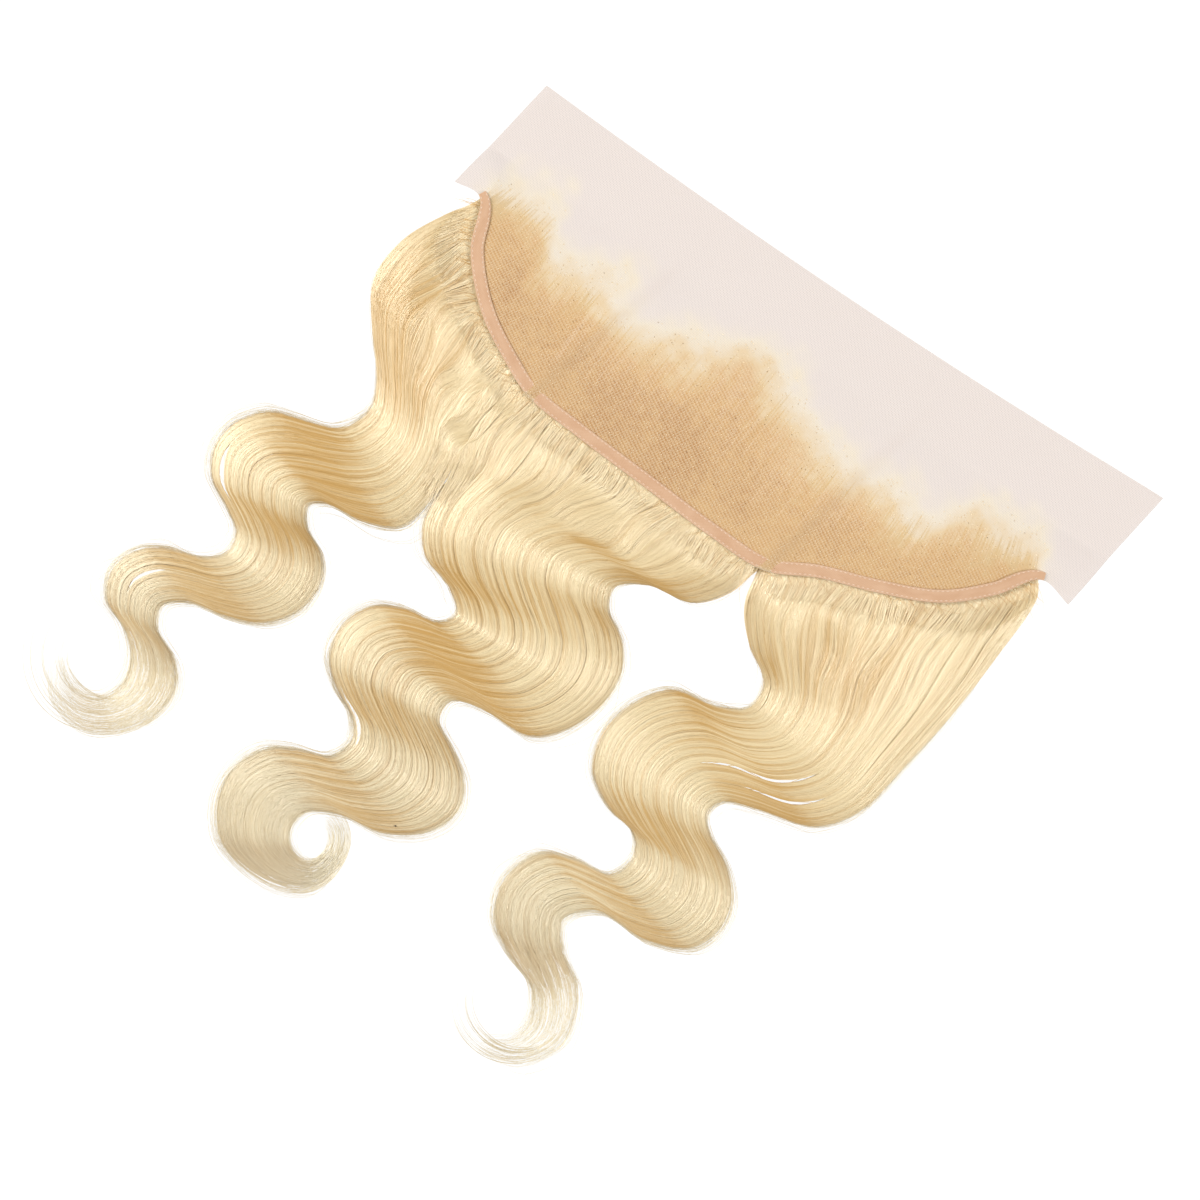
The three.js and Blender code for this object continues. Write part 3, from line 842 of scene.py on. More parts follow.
def bundles(lock, piece_name):
    turn = np.linspace(0, 2 * math.pi, RING, endpoint=False)
    points, faces, flow, painted_highlight = [], [], [], []
    steps = np.linspace(0, 1, BUNDLE_STEPS)
    for first, last in zip(BORDERS[lock.name], BORDERS[lock.name][1:]):
        split = [row[2] for row in PARTINGS[lock.name]]
        first += SLIT if first in split else -LAP
        last -= SLIT if last in split else -LAP
        home, half = (first + last) / 2, (last - first) / 2
        begin = lock.reach_line(lambda x: mix(hairline(x), back_line(x), 0.7), home)
        end = BODY_END[lock.name] - 0.1 * abs(home - 0.5)
        along = mix(begin, end, steps)[:, None] + 0 * turn
        start_up = smoothstep(steps, 0, 0.02)[:, None]
        narrow = start_up * (1 - smoothstep(steps, 0.94, 1))[:, None]
        thin = start_up * (1 - smoothstep(steps, 0.72, 1))[:, None]
        share = home + squared_off(np.cos(turn), SQUARE) * half * mix(0.5, 1, narrow)
        layer = 0.5 + 0.5 * squared_off(np.sin(turn), SQUARE) * mix(0.1, 1, thin)
        start = sum(map(len, points))
        ring = lock.place(share, along, layer, BODY_BELOW)
        points.append(ring.reshape(-1, 3))
        painted_highlight.append(painted_highlight_of(ring.swapaxes(0, 1)).T.ravel())
        flow.append(np.stack([share, lock.flow(share, along)], -1).reshape(-1, 2))
        faces.append(grid_faces(BUNDLE_STEPS, RING, start, closed=True)[:, ::-1])
    masks = {"painted_highlight": np.concatenate(painted_highlight)}
    points, faces, flow = np.vstack(points), np.vstack(faces), np.vstack(flow)
    return new_piece(piece_name, points, faces, hair_finish, flow, masks=masks)


for lock in locks.values():
    dress(bundles(lock, f"{lock.name}_lock_body"), "hair", f"hair_{lock.name}")

# %% [markdown]
# ## The strands
# Each strand has a home across the lock and belongs to a tuft. It wanders a little, mostly
# together with its tuft, and the nearer the tip the more its tuft draws it in. Its root is
# knotted somewhere between the hairline and the tape, rarely at the very front. Hair is layered:
# only one strand in ten reaches the last tenth of the lock, which makes the ends thin and soft.
# A table says what share of the strands ends before which place.

# %% Grow the strands
PER_LOCK = {"left": 2600, "middle": 3300, "right": 2800}
TUFTS = {"left": 44, "middle": 64, "right": 52}
TUFT_RELIEF = 0.12  # how much lower the edges of a tuft lie, in mm
ROOT_SETBACK = 20.0  # the first roots lie this far behind the first thin knots
HAIR_SIDE = 0.485  # where the sides of a lock's hair lie, from its middle, as a share
SINGLE_WAVES = ((0.005, 1.3), (0.003, 3.1))  # how far a hair strays (a share), waves along it
LOOSE_TIP = 2.2  # how far the hairs of the very tip stray, in mm
# share of the strands, and the way along before which they end
ENDS_BEFORE = np.array([(0, 0.2), (0.3, 0.42), (0.52, 0.6), (0.75, 0.78), (0.9, 0.9), (1, 1.0)])


def grow(lock, home, end, depths, seed, steps):
    """Lines of strands in a lock, and their ways along."""
    chance = np.random.default_rng(seed)
    count = len(home)
    from_back = chance.uniform(0, 1, count) ** 0.55
    head = np.arange(STATIONS // 3)
    line = mix(lock.left[head][None], lock.right[head][None], home[:, None, None])
    front = hairline(line[..., 0]) - ROOT_SETBACK
    root = mix(front, back_line(line[..., 0]), from_back[:, None])
    begin = np.argmax(line[..., 1] < root, axis=1) / STATIONS
    along = lock.steps(begin, end, steps)
    home = home[:, None]
    tufts = TUFTS[lock.name]
    tuft = np.floor(home * tufts + chance.normal(0, 0.3, (count, 1)))
    middle = (tuft + 0.5 + 0.35 * np.sin(tuft * 12.9)) / tufts
    pull = 0.16 + 0.14 * np.sin(tuft * 5.3)
    share = mix(home, middle, pull * smoothstep(along, 0.12, 0.7))
    for size, waves in SINGLE_WAVES:
        together = np.sin(2 * math.pi * waves * along + 3 * np.sin(tuft * 7.7 + waves))
        apart = np.sin(2 * math.pi * waves * along + chance.uniform(0, 2 * math.pi, (count, 1)))
        share = share + size * (together + 0.35 * apart) * smoothstep(along, 0.08, 0.3)
    section = lock.look_up(lock.section, along)
    behind_tape = smoothstep(section, 1.2, 2.6) * (1 - smoothstep(section, 3.6, 5.4))
    sway = np.sin(2 * math.pi * (1.8 * home + 9 * along) + seed % 10)
    sway = sway + 0.5 * np.sin(2 * math.pi * (3.3 * home - 13 * along) + seed % 10)
    share = share + SWING[lock.name] * sway * behind_tape * 4 * share * (1 - share)
    edge = np.abs(share - 0.5) - HAIR_SIDE
    share = np.where(edge > 0, share - np.sign(share - 0.5) * edge * 0.75, share)
    loose = chance.normal(0, 1, (count, 1)) * smoothstep(along, 0.72, 1.0) ** 1.5
    share = share + loose * LOOSE_TIP / lock.look_up(lock.width, along)
    below = chance.uniform(*depths, (count, 1))
    outer = np.clip(np.abs(home * tufts - tuft - 0.5) * 2, 0, 1)
    below = below + TUFT_RELIEF * outer**2 * smoothstep(along, 0.1, 0.4)
    return lock.place(share, along, below=below), along


print(sum(PER_LOCK.values()), "strands in", sum(TUFTS.values()), "tufts")

# %% [markdown]
# ## Short hair and long hair
# The shorter half of the strands lies a little deeper, is wider and needs fewer steps. The longer
# half is finer and makes up the ends. Each half of a lock becomes one mesh, because thousands of
# objects would be slow to draw and hard to keep.

# %% Short and long hair of each lock
STRAND_KINDS = {  # which strands, how deep and how wide (from and to, in mm), seed, steps
    "short": ((0, 0.5), (0.05, 0.35), (0.3, 0.5), 10, 32),
    "long": ((0.5, 1), (0.0, 0.3), (0.2, 0.36), 20, 58),
}


def hair_piece(name, lines, width, roll, share, along):
    """A piece of hair from lines, with a width and a place in the flow map for each point."""
    points, faces, facing = ribbons(lines, width, roll)
    points[:, 2] = np.clip(points[:, 2], 0.1, HAIR_DEPTH + 0.6)
    masks = {"painted_highlight": np.repeat(painted_highlight_of(lines)[..., None], 2, -1)}
    flow = ribbon_flow(share, along)
    return dress(new_piece(name, points, faces, hair_finish, flow, facing, masks=masks), "hair")


def strand_piece(name, lock, reach, depths, width, seed, steps):
    """All strands of a lock whose length lies in a range of shares."""
    chance = np.random.default_rng(seed)
    count = PER_LOCK[lock.name]
    home = (np.arange(count) + chance.uniform(0, 1, count)) / count
    rank = chance.uniform(0, 1, len(home))
    home, rank = (x[(rank >= reach[0]) & (rank < reach[1])] for x in (home, rank))
    end = np.interp(rank, *ENDS_BEFORE.T)
    lines, along = grow(lock, home, end, depths, seed + 100, steps)
    step = np.linspace(0, 1, steps)
    swell = smoothstep(step, -0.004, 0.012) * (1 - 0.8 * step**3)
    width = chance.uniform(*width, (len(home), 1)) * swell
    share = home[:, None] + 0 * along
    roll = chance.uniform(-0.25, 0.25, len(home))
    return hair_piece(name, lines, width, roll, share, lock.flow(share, along))


for number, lock in enumerate(locks.values()):
    for kind, (reach, depths, width, seed, steps) in STRAND_KINDS.items():
        name = f"{lock.name}_lock_{kind}_hair"
        strand_piece(name, lock, reach, depths, width, seed + number, steps)

# %% [markdown]
# ## Hair between two locks
# Close behind the tape the left and the middle lock are still one. Some of their hair crosses
# from one to the other there. Its lines are mixed from the facing edges of both locks, so they
# lie on whichever lock they are nearer to. Halfway they bridge the groove at the height of the
# crests on both sides.

# %% Hair that crosses from the left lock to the middle one
CROSSING = 620
CROSSING_STEPS = 26
FIRST_CROSSING = (-66, -40)  # the crossing hair begins between these levels of y, in mm
LAST_CROSSING = (-134, -104)  # and ends between these
OVER_LEFT, OVER_MIDDLE = 0.16, 0.08  # how far it spreads over each lock, as a share
LEFT_CREST, MIDDLE_CREST = 0.82, 0.12  # where across the locks the crests lie


def way_at(lock, share, level):
    """How far along a lock the hair at a share passes a level of y."""
    edge = mix(lock.left[: STATIONS // 2, 1], lock.right[: STATIONS // 2, 1], share)
    edge = np.minimum.accumulate(edge)
    return np.interp(-level, -edge, np.arange(STATIONS // 2) / STATIONS)


chance = np.random.default_rng(61)
step = np.linspace(0, 1, CROSSING_STEPS)
top_level = chance.uniform(*FIRST_CROSSING, (CROSSING, 1))
low_level = chance.uniform(*LAST_CROSSING, (CROSSING, 1))
level = mix(top_level, low_level, step)
side = chance.uniform(-1, 1, (CROSSING, 1))
side = side + chance.normal(0, 0.16, (CROSSING, 1)) * smoothstep(step, 0, 1)
side = side + 0.16 * np.sin(step * 6 + side[:, :1] * 2)
side = np.clip(side, -1.2, 1.2)
left_share = 1 + np.minimum(side, 0) * OVER_LEFT
middle_share = np.maximum(side, 0) * OVER_MIDDLE
left_way = way_at(locks["left"], 1.0, level)
middle_way = way_at(locks["middle"], 0.0, level)
on_left = locks["left"].place(left_share, left_way)
on_middle = locks["middle"].place(middle_share, middle_way)
lines = mix(on_left, on_middle, smoothstep(side, -0.25, 0.25)[..., None])
left_crest = locks["left"].place(LEFT_CREST + 0 * left_way, left_way)[..., 2]
middle_crest = locks["middle"].place(MIDDLE_CREST + 0 * left_way, middle_way)[..., 2]
crest = mix(left_crest, middle_crest, smoothstep(side, -1, 1))
lines[..., 2] = mix(crest, lines[..., 2], np.abs(side / 1.2) ** 2) + 0.2
lines[..., 2] = np.minimum(lines[..., 2], hair_ceiling(lines[..., 0], lines[..., 1]))
lines[..., 2] -= chance.uniform(0, 0.4, (CROSSING, 1))
taper = smoothstep(step, -0.02, 0.05) * (1 - 0.7 * step**3)
width = chance.uniform(0.25, 0.5, (CROSSING, 1)) * taper
share = 0.9 + 0.1 * chance.uniform(0, 1, (CROSSING, 1)) + 0 * step
hair_piece(
    "crossing_hair", lines, width, chance.uniform(-0.25, 0.25, CROSSING), share,
    locks["left"].flow(share, left_way),
)

# %% [markdown]
# ## Finish of the net
# The lace is fine honeycomb net, nearly clear where it is empty. A mask kept on the points says
# where hair is knotted in, and the finish fills the net there with hair-coloured ribs: the knots
# sit in slanting rows, a mark of work done by hand. A second mask paints shade along the two
# creases, as a darker line.

# %% Net finish
RIB = 0.0016  # distance between two rows of knots, in metres
ACROSS_ROWS, ALONG_ROWS = (0.495, 0.869, 0.0), (0.869, -0.495, 0.0)  # directions of the rows
lace_finish, shader, n = new_material("Fine lace net", Roughness=0.75)
place = n.node("ShaderNodeTexCoord").outputs["Object"]
mesh_pattern = n.group(net, Place=place, Cell=0.0008, Thread=0.22)
patchy = n.noise(place, 220.0, 3.0)
cover = n.math("MULTIPLY", n.mask("cover"), n.spread(patchy, 0.2, 0.8, 0.86, 1.1))
across_ribs = n.math("DIVIDE", n.vector("DOT_PRODUCT", place, ACROSS_ROWS), RIB)
along_ribs = n.math("DIVIDE", n.vector("DOT_PRODUCT", place, ALONG_ROWS), RIB * 0.7)
rib = n.math("SINE", n.math("MULTIPLY", across_ribs, 2 * math.pi))
dash = n.math("SINE", n.math("MULTIPLY", along_ribs, 2 * math.pi))
rib = n.math("ADD", n.math("MULTIPLY", rib, 0.6), n.math("MULTIPLY", dash, 0.4))
rib_light = n.spread(rib, -1.0, 1.0, 0.0, 1.0)
thread_colour = n.ramp(
    cover,
    [
        (0.0, (0.66, 0.54, 0.47)), (0.2, (0.74, 0.61, 0.42)), (0.5, (0.72, 0.52, 0.27)),
        (0.75, (0.62, 0.365, 0.15)), (1.0, (0.49, 0.245, 0.085)),
    ],
)
rib_share = n.math("MULTIPLY", n.spread(cover, 0.35, 0.9), 0.4)
rib_share = n.math("MULTIPLY", rib_share, rib_light)
thread_colour = n.blend(rib_share, thread_colour, (0.95, 0.80, 0.55, 1))
# painted shade: a darker line along each crease
crease_shade_share = n.math("MULTIPLY", n.mask("painted_crease_shade"), 0.3)
thread_colour = n.blend(crease_shade_share, thread_colour, (0.50, 0.33, 0.18, 1))
n.put(thread_colour, shader.inputs["Base Color"])
net_alpha = n.between(mesh_pattern.outputs["Thread"], 0.5, 0.86)
alpha = n.between(n.spread(cover, 0.05, 0.75), net_alpha, 0.93)
n.put(alpha, shader.inputs["Alpha"])
print(lace_finish.name, "has", len(n.tree.nodes), "nodes")

# %% [markdown]
# ## The lace sheet
# Cloth physics could drape the net, but it would lie otherwise each time a value changes. One
# thin grid between the back edge and the front edge follows the measured form instead. It lifts
# along the two creases and ripples a little in front.

# %% Lace sheet
LACE_DEPTH = 60  # steps from the back edge to the front edge
CREASE_LIFT, CREASE_WIDTH = 1.1, 0.3  # in mm, and in rows of the lace's table
CREASE_SHADE_WIDTH = 0.13  # of the painted shade along a crease, in rows
FRONT_RIPPLE = 0.22  # in mm


def crease_marks(width):
    """For each column of the grid, 1 on a crease and less beside it."""
    marks = np.zeros(EDGE_COLUMNS + 1)
    for row in np.flatnonzero(LACE_ROWS[:, 3]):
        marks += np.exp(-(((edge_at - row) / width) ** 2))
    return marks


def lace_points():
    across = np.linspace(0, 1, LACE_DEPTH + 1)[:, None, None]
    points = mix(back_edge[None], front_edge[None], across)
    x, y = points[..., 0], points[..., 1]
    height = lace_underside(x, y) + LACE_MIDDLE
    height = height + CREASE_LIFT * crease_marks(CREASE_WIDTH) * (1 - across[..., 0] ** 2)
    height = height + FRONT_RIPPLE * ripple(x, y, 46, 4) * smoothstep(y, -10, 30)
    points[..., 2] = height
    # the second array is the painted shade along the creases, fading towards the front
    return points, crease_marks(CREASE_SHADE_WIDTH) * (1 - smoothstep(across[..., 0], 0.25, 0.9))


net_points, painted_crease_shade = lace_points()
net_grid = grid_faces(LACE_DEPTH + 1, EDGE_COLUMNS + 1)[:, ::-1]
cover = fullness(net_points[..., 0], net_points[..., 1])
lace = new_piece(
    "lace_sheet", net_points.reshape(-1, 3), net_grid, lace_finish,
    masks={"cover": cover, "painted_crease_shade": painted_crease_shade},
)
dress(lace, "lace", "lace_base")

# %% [markdown]
# ## Knots
# Each hair is drawn through the net and tied, which leaves a tiny bead. They sit in the same
# slanting rows as the ribs of the finish, and a few are dark. A small diamond is enough for each,
# laid where a ray dropped on the sheet meets it.

# %% Small diamonds, and the knots
from mathutils.bvhtree import BVHTree

lace_surface = BVHTree.FromPolygons(net_points.reshape(-1, 3).tolist(), net_grid.tolist())
SKY = 60.0  # height from which a ray is dropped, in mm


def drop_on_lace(x, y):
    """Heights of the lace at places, not a number beside it."""
    hits = [lace_surface.ray_cast((a, b, SKY), (0, 0, -1))[0] for a, b in zip(x, y)]
    return np.array([math.nan if hit is None else hit[2] for hit in hits])


def diamonds(centres, ahead, long, wide, high):
    """Points and faces of small diamonds that point along a direction."""
    ahead = unit(ahead)
    side = unit(np.cross(ahead, UP))
    over = np.cross(side, ahead)
    arms = [ahead * long / 2, side * wide / 2, -ahead * long / 2, -side * wide / 2, over * high]
    points = np.stack([centres + arm for arm in arms], 1).reshape(-1, 3)
    one = np.array([(1, 0, 4), (2, 1, 4), (3, 2, 4), (0, 3, 4)])
    return points, (one[None] + 5 * np.arange(len(centres))[:, None, None]).reshape(-1, 3)


knot_finish, shader, n = new_material("Hair knots", Roughness=0.5)
lightness = n.noise(n.node("ShaderNodeTexCoord").outputs["Object"], 900.0, 1.0)
knot_tones = [(0.3, (0.22, 0.13, 0.07)), (0.34, (0.72, 0.48, 0.22)), (0.65, (0.95, 0.82, 0.58))]
n.put(n.ramp(lightness, knot_tones), shader.inputs["Base Color"])
RIB_TURN = math.radians(-29.7)
KNOT_STEP = 1.5  # between the knots of one row, in mm
KNOT_SIZE = (0.95, 0.42, 0.22)  # length, width and height, in mm
KNOT_LIFT = 0.03  # over the net, in mm
FIELD = 260.0  # the rows reach this far to each side before they are cut to the lace
chance = np.random.default_rng(31)
row_at, knot_at = np.meshgrid(
    np.arange(-FIELD, FIELD, 1000 * RIB), np.arange(-FIELD, FIELD, KNOT_STEP)
)
row_at, knot_at = row_at.ravel(), knot_at.ravel() + chance.uniform(-0.3, 0.3, row_at.size)
row_at = row_at + chance.uniform(-0.15, 0.15, row_at.size)
knot_x = knot_at * math.cos(RIB_TURN) - row_at * math.sin(RIB_TURN)
knot_y = knot_at * math.sin(RIB_TURN) + row_at * math.cos(RIB_TURN)
tied = chance.uniform(0, 1, knot_x.size) < 1.1 * fullness(knot_x, knot_y) - 0.12
knot_x, knot_y = knot_x[tied], knot_y[tied]
knot_z = drop_on_lace(knot_x, knot_y)
tied = np.isfinite(knot_z)
centres = np.stack([knot_x, knot_y, knot_z + KNOT_LIFT], 1)[tied]
turns = RIB_TURN + chance.normal(0, 0.35, len(centres))
ahead = np.stack([np.cos(turns), np.sin(turns), 0 * turns], 1)
points, faces = diamonds(centres, ahead, *KNOT_SIZE)
print(len(centres), "knots")
dress(new_piece("hair_knots", points, faces, knot_finish, smooth=False), "hair")

# %% [markdown]
# ## Tape
# A narrow woven tape is sewn on top along the back edge, so that the frontal can be stitched to a
# wig. It is flat, a little duller than the hair and pinker, and narrows where its ends are turned
# under. Its weave is a checker and a bump of the finish, far too fine to model.

# %% Tape finish
TAPE_SPAN = 480.0  # the flow map counts along the tape in parts of this length, in mm
tape_finish, shader, n = new_material("Woven tape", Roughness=0.85)
tape_map = n.node("ShaderNodeUVMap", {"uv_map": "flow"}).outputs[0]
wide = n.node("ShaderNodeSeparateXYZ", Vector=tape_map).outputs["Y"]
weave = n.vector("MULTIPLY", tape_map, (1.6 * TAPE_SPAN, 14.0, 1.0))
threads = n.node("ShaderNodeTexChecker", Vector=weave, Scale=1.0).outputs["Fac"]
uneven = n.noise(n.vector("MULTIPLY", tape_map, (0.09 * TAPE_SPAN, 1.5, 1.0)), 1.0, 3.0)
body = n.blend(n.spread(uneven, 0.3, 0.7), (0.60, 0.35, 0.20, 1), (0.66, 0.41, 0.25, 1))
selvedge = n.math("GREATER_THAN", n.math("ABSOLUTE", n.math("SUBTRACT", wide, 0.5)), 0.40)
body = n.blend(n.math("MULTIPLY", selvedge, 0.4), body, (0.80, 0.56, 0.38, 1))
body = n.blend(n.math("MULTIPLY", threads, 0.12), body, (0.92, 0.70, 0.52, 1))
n.put(body, shader.inputs["Base Color"])
bump = n.node("ShaderNodeBump", Height=threads, Strength=0.25, Distance=0.0002)
n.put(bump.outputs[0], shader.inputs["Normal"])
print(tape_finish.name, "has", len(n.tree.nodes), "nodes")

# %% [markdown]
# ## The tape itself
# A curve with a flat bevel could make such a tape, but may twist where the edge bends.
# Here each line along the tape is laid beside the lace's back edge, at its own distance and
# height, and the lines are joined to a flat tube.

# %% Tape
TAPE_RING = 16
TAPE_TOP = 1.75  # top of the tape over the underside of the lace
TAPE_STEPS = 360
TAPE_END_WIDTH = 0.35  # of its width, where its ends are turned under
tape_run = np.linspace(0.95, 14.05, TAPE_STEPS)  # in rows of the lace's table


def tape_line(share, rise):
    """A line along the tape; share runs from its outer edge to its inner one."""
    line = smooth_line(back_points, tape_run)
    ahead = unit(np.gradient(line, axis=0))
    inward = np.stack([-ahead[:, 1], ahead[:, 0], 0 * ahead[:, 0]], 1)
    from_start, from_end = tape_run - tape_run[0], tape_run[-1] - tape_run
    ends = smoothstep(from_start, -0.5, 0.7) * smoothstep(from_end, -0.5, 0.7)
    width = TAPE_WIDTH * mix(TAPE_END_WIDTH, 1, ends)
    line = line + inward * (width * share)[:, None]
    line[:, 2] = lace_underside(line[:, 0], line[:, 1]) + rise
    return line


rings, wide_at = [], []
for turn in np.linspace(0, 2 * math.pi, TAPE_RING, endpoint=False):
    share = 0.5 + 0.49 * squared_off(math.cos(turn), 0.6)
    rise = TAPE_TOP - 0.35 + 0.33 * squared_off(math.sin(turn), 0.35)
    rings.append(tape_line(share, rise))
    wide_at.append(share)
tape_points = np.stack(rings, 1)
tape_way = way_along(rings[0])
tape_flow = np.broadcast_arrays(tape_way[:, None] / TAPE_SPAN, np.array(wide_at)[None])
tape_flow = np.stack(tape_flow, -1).reshape(-1, 2)
tape_faces = grid_faces(len(tape_run), TAPE_RING, closed=True)
tape = new_piece(
    "sewn_tape", tape_points.reshape(-1, 3), tape_faces, tape_finish, tape_flow
)
dress(tape, "tape", "back_tape")

# %% [markdown]
# ## Stitches
# Two rows of pale stitches hold the tape. Each is a small diamond like a knot, only longer, and
# they follow two of the tape's own lines.

# %% Stitches
STITCH_PITCH = 2.4  # from stitch to stitch, in mm
STITCH_ROWS = (0.16, 0.86)  # where they lie across the tape, as a share
STITCH_SIZE = (1.7, 0.45, 0.14)  # length, width and height, in mm
thread_finish, shader, n = new_material("Pale thread", Roughness=0.6)
n.put((0.86, 0.66, 0.50, 1), shader.inputs["Base Color"])
stitches = []
for share in STITCH_ROWS:
    line = tape_line(share, TAPE_TOP + 0.02)
    way = way_along(line)
    at = np.arange(2, way[-1] - 2, STITCH_PITCH)
    where = np.stack([np.interp(at, way, line[:, axis]) for axis in range(3)], 1)
    stitches.append(np.stack([where, np.gradient(where, axis=0)], 1))
stitches = np.vstack(stitches)
points, faces = diamonds(stitches[:, 0], stitches[:, 1], *STITCH_SIZE)
dress(new_piece("tape_stitches", points, faces, thread_finish, smooth=False), "tape")

# %% [markdown]
# ## Short hair behind the tape
# Where the tape crosses the hair, short ends work loose and stand out behind it. They are the
# same ribbons as the strands, only a few steps long.

# %% Short hair behind the tape
SHORT_HAIRS = 700
SHORT_LENGTH = (4, 13)  # in mm
chance = np.random.default_rng(41)
outer, inner = tape_line(0.05, 0.3), tape_line(0.6, 0.3)
at = chance.integers(6, len(outer) - 6, SHORT_HAIRS)
ahead = unit(outer[at] - inner[at]) + chance.normal(0, 0.45, (SHORT_HAIRS, 3)) * (1, 1, 0)
step = np.linspace(0, 1, 7)[None, :, None]
sideways = np.stack([-ahead[:, 1], ahead[:, 0], 0 * at], 1)
bend = sideways * chance.normal(0, 0.35, SHORT_HAIRS)[:, None]
length = chance.uniform(*SHORT_LENGTH, SHORT_HAIRS)[:, None, None]
lines = outer[at][:, None] + (ahead[:, None] * step + bend[:, None] * step**2) * length
climb = chance.uniform(0, 1.2, SHORT_HAIRS)[:, None] * step[..., 0]
lines[..., 2] = outer[at, 2][:, None] - 0.9 + climb
width = chance.uniform(0.16, 0.3, SHORT_HAIRS)[:, None] * (1 - 0.7 * step[..., 0])
share = chance.uniform(0, 1, SHORT_HAIRS)[:, None] + 0 * step[..., 0]
roll = chance.uniform(-0.4, 0.4, SHORT_HAIRS)
# the short hairs take the tones right at the tape, which are painted lighter to lift the shade
# there
hair_piece("tape_short_hair", lines, width, roll, share, 0.105 + 0.015 * share)

# %% [markdown]
# ## Flyaway hairs
# No lock ends in a clean outline. Single hairs leave it at the outside of the waves and spread
# at the tip. They are thinner and go their own way beside the lock.

# %% Flyaways
FLYAWAYS = 200
FLYAWAY_STEPS = 30


def tip_flow(step, share):
    """Loose hairs have the tones of the last part of the flow map."""
    return 0.93 + 0.06 * step + 0 * share


def flyaways(lock, seed):
    chance = np.random.default_rng(seed)
    side = np.where(chance.uniform(0, 1, FLYAWAYS) < 0.5, -1.0, 1.0)
    begin = chance.uniform(0.22, 0.85, FLYAWAYS)
    end = np.minimum(begin + chance.uniform(0.06, 0.3, FLYAWAYS), 1)
    along = lock.steps(begin, end, FLYAWAY_STEPS)
    step = np.linspace(0, 1, FLYAWAY_STEPS)
    swell = np.sin(step * math.pi * chance.uniform(0.6, 1.0, (FLYAWAYS, 1)))
    away = chance.exponential(2.2, (FLYAWAYS, 1)) * swell
    away = away + 0.8 * np.sin(step * chance.uniform(4, 11, (FLYAWAYS, 1)) + side[:, None])
    share = 0.5 + side[:, None] * (HAIR_SIDE + away / lock.look_up(lock.width, along))
    lines = lock.place(share, along, 0.6)
    lines[..., 2] += chance.uniform(0.1, 1.5, (FLYAWAYS, 1))
    width = chance.uniform(0.1, 0.2, FLYAWAYS)[:, None] * (1 - 0.6 * step**2)
    roll = chance.uniform(-0.3, 0.3, FLYAWAYS)
    share = np.clip(share, 0.002, 0.998)
    hair_piece(f"{lock.name}_lock_flyaways", lines, width, roll, share, tip_flow(step, share))


for seed, lock in enumerate(locks.values()):
    flyaways(lock, 50 + seed)

# %% [markdown]
# ## Wisps at the tips
# The last hairs of each lock go on along its curl: wide arcs at the left tip, a ring round a small
# hole in the middle, a hook at the right. Each wisp runs a part of the way round the middle of its
# curl, while its distance from there changes smoothly from a place in the first band to one in
# the second.

# %% Wisps
WISPS = {  # middle, first and last turn (degrees), bands of distance at both, how many
    "left": ((-191.7, -284.2), (25, -200), (24, 33), (17, 38), 44),
    "middle": ((-58.0, -301.0), (235, 462), (11, 33), (8.5, 19), 190),
    "right": ((67.4, -312.3), (15, -185), (26, 31), (20, 30), 36),
}
WISP_STEPS = 26
chance = np.random.default_rng(71)
step = np.linspace(0, 1, WISP_STEPS)
for name, (middle, turns, first_band, last_band, count) in WISPS.items():
    begin = chance.uniform(0, 0.35, (count, 1))
    end = chance.uniform(0.5, 1, (count, 1))
    turned = mix(begin, end, step)
    turn = np.radians(mix(*turns, turned))
    lane = chance.uniform(0, 1, (count, 1))
    late_lane = np.clip(lane + chance.normal(0, 0.2, (count, 1)), 0, 1)
    away = mix(mix(*first_band, lane), mix(*last_band, late_lane), smoothstep(turned, 0, 0.62))
    away = away + 0.5 * np.sin(5 * turned + chance.uniform(0, 6, (count, 1)))
    height = chance.uniform(0.6, 2.2, (count, 1)) + 0 * step
    lines = np.stack([middle[0] + away * np.cos(turn), middle[1] + away * np.sin(turn), height], -1)
    width = chance.uniform(0.14, 0.26, (count, 1)) * np.sin(math.pi * mix(0.12, 1, step)) ** 0.6
    roll = chance.uniform(-0.3, 0.3, count)
    share = lane + 0 * step
    hair_piece(f"{name}_tip_wisps", lines, width, roll, share, tip_flow(step, share))

# %% [markdown]
# ## A speck of lint
# One dark speck lies on the middle lock. We look for the point of the lock's surface that is
# nearest to it and lay a single small diamond there.

# %% Lint
LINT = (-27.3, -273.3)  # where the speck lies, in mm
LINT_SIZE = (1.3, 0.9, 0.3)  # length, width and height, in mm
lint_finish, shader, n = new_material("Dark lint", Roughness=0.8)
n.put((0.05, 0.03, 0.02, 1), shader.inputs["Base Color"])
share, along = np.meshgrid(np.linspace(0, 1, 41), np.linspace(0.6, 1, 200))
spots = locks["middle"].place(share, along).reshape(-1, 3)
spot = spots[np.hypot(spots[:, 0] - LINT[0], spots[:, 1] - LINT[1]).argmin()] + (0, 0, 0.3)
points, faces = diamonds(spot[None], np.array([(1.0, 0.3, 0.0)]), *LINT_SIZE)
dress(new_piece("lint_speck", points, faces, lint_finish, smooth=False), "hair")

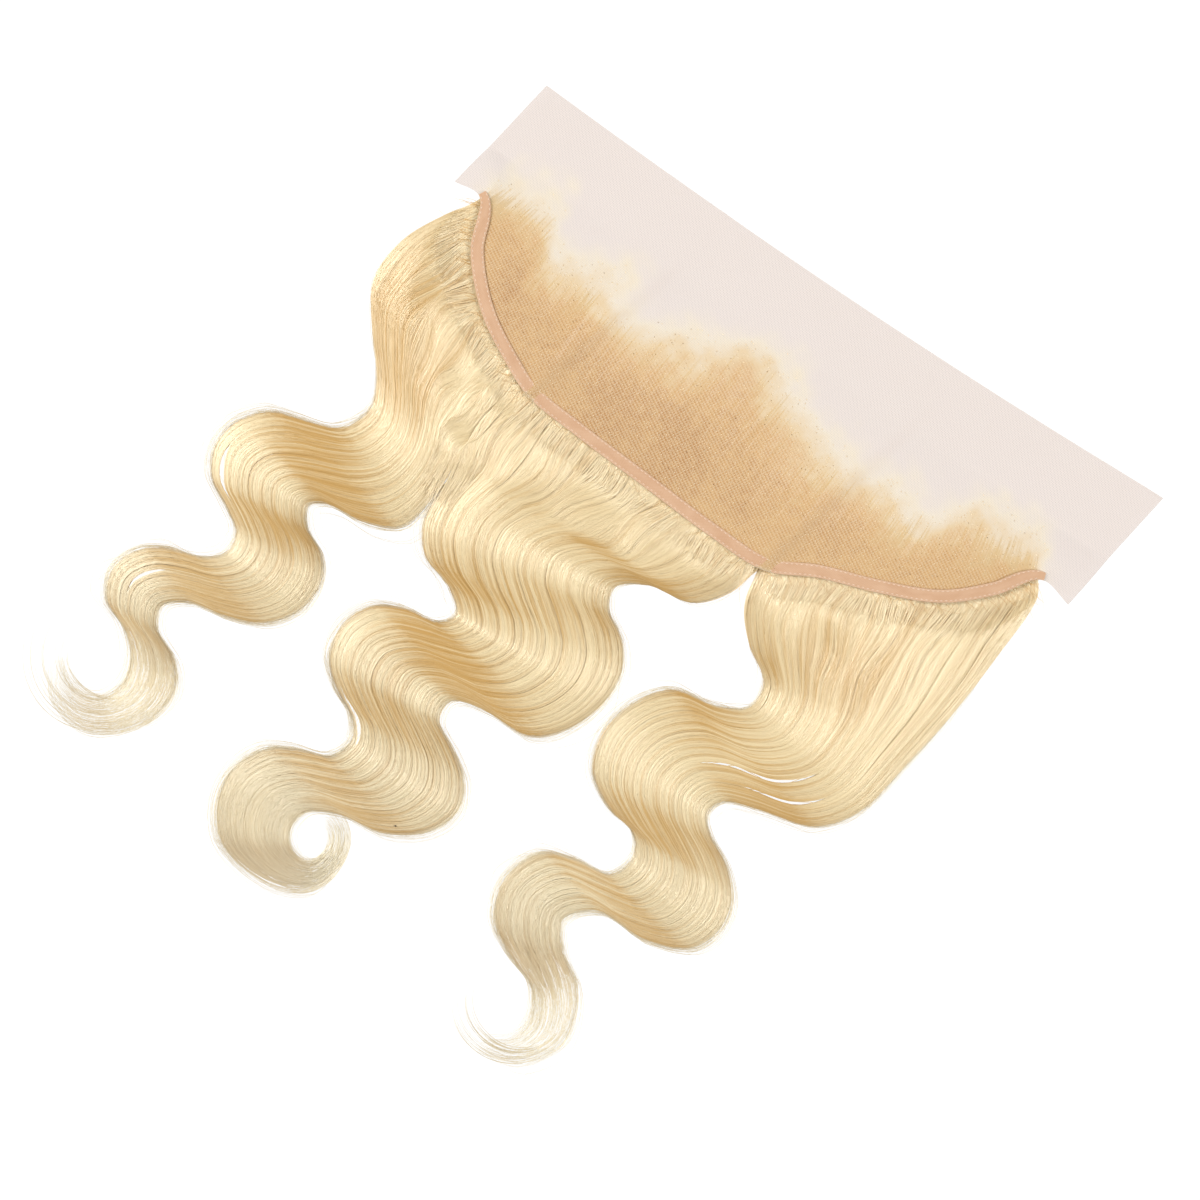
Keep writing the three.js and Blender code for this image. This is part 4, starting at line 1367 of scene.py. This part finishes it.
# %% [markdown]
# ## How the lace lies
# The lace with its tape and knots is one sheet that rests on the three locks.

print(lace.name, "is declared as a sheet")

# %% [markdown]
# ## Table, light and camera
# The photo was taken from straight above on a pale table. A stronger lamp at the left of the piece
# and a weaker one at its right lay the bands of shine across the waves. The table gives off light
# of its own, so that it stays nearly white, and a long lens keeps the view almost free of
# perspective.

# %% Stage
floor_finish, shader, n = new_material("Pale table", Roughness=0.9, Emission_Strength=0.95)
n.put((0.1, 0.1, 0.1, 1), shader.inputs["Base Color"])
n.put((1, 1, 1, 1), shader.inputs["Emission Color"])
bpy.ops.mesh.primitive_plane_add(size=8, location=(0, 0, -0.0002))
floor = bpy.context.object
floor.name = "table"
floor.data.materials.append(floor_finish)

scene = bpy.context.scene
scene.view_settings.view_transform = "Standard"
scene.world = scene.world or bpy.data.worlds.new("studio")
scene.world.use_nodes = True
scene.world.node_tree.nodes["Background"].inputs["Color"].default_value = (1, 1, 1, 1)
scene.world.node_tree.nodes["Background"].inputs["Strength"].default_value = 0.4


def soft_light(name, place, size, power):
    lamp = bpy.data.lights.new(name, "AREA")
    lamp.size, lamp.energy = size, power
    lamp.shape = "DISK"
    holder = bpy.data.objects.new(name, lamp)
    holder.location = place
    aim = -holder.location
    holder.rotation_euler = aim.to_track_quat("-Z", "Y").to_euler()
    scene.collection.objects.link(holder)


# the painted highlight in the hair's finish makes the bands of shine from these lamps stronger
soft_light("key", (-2.0, -0.2, 1.8), 1.3, 52)
soft_light("fill", (2.0, 0.3, 1.8), 1.3, 36)

PICTURE_WIDTH = 0.5832  # width of what the photo shows, in metres
LENS, SENSOR = 100.0, 36.0
camera_data = bpy.data.cameras.new("camera")
camera_data.lens, camera_data.sensor_width = LENS, SENSOR
camera = bpy.data.objects.new("camera", camera_data)
camera.location = (0.0029, 0.0101, PICTURE_WIDTH * LENS / SENSOR)
camera.rotation_euler = (0, 0, math.radians(33.8))
scene.collection.objects.link(camera)
scene.camera = camera
print("the camera is", round(camera.location.z, 2), "m above the table")

# %% [markdown]
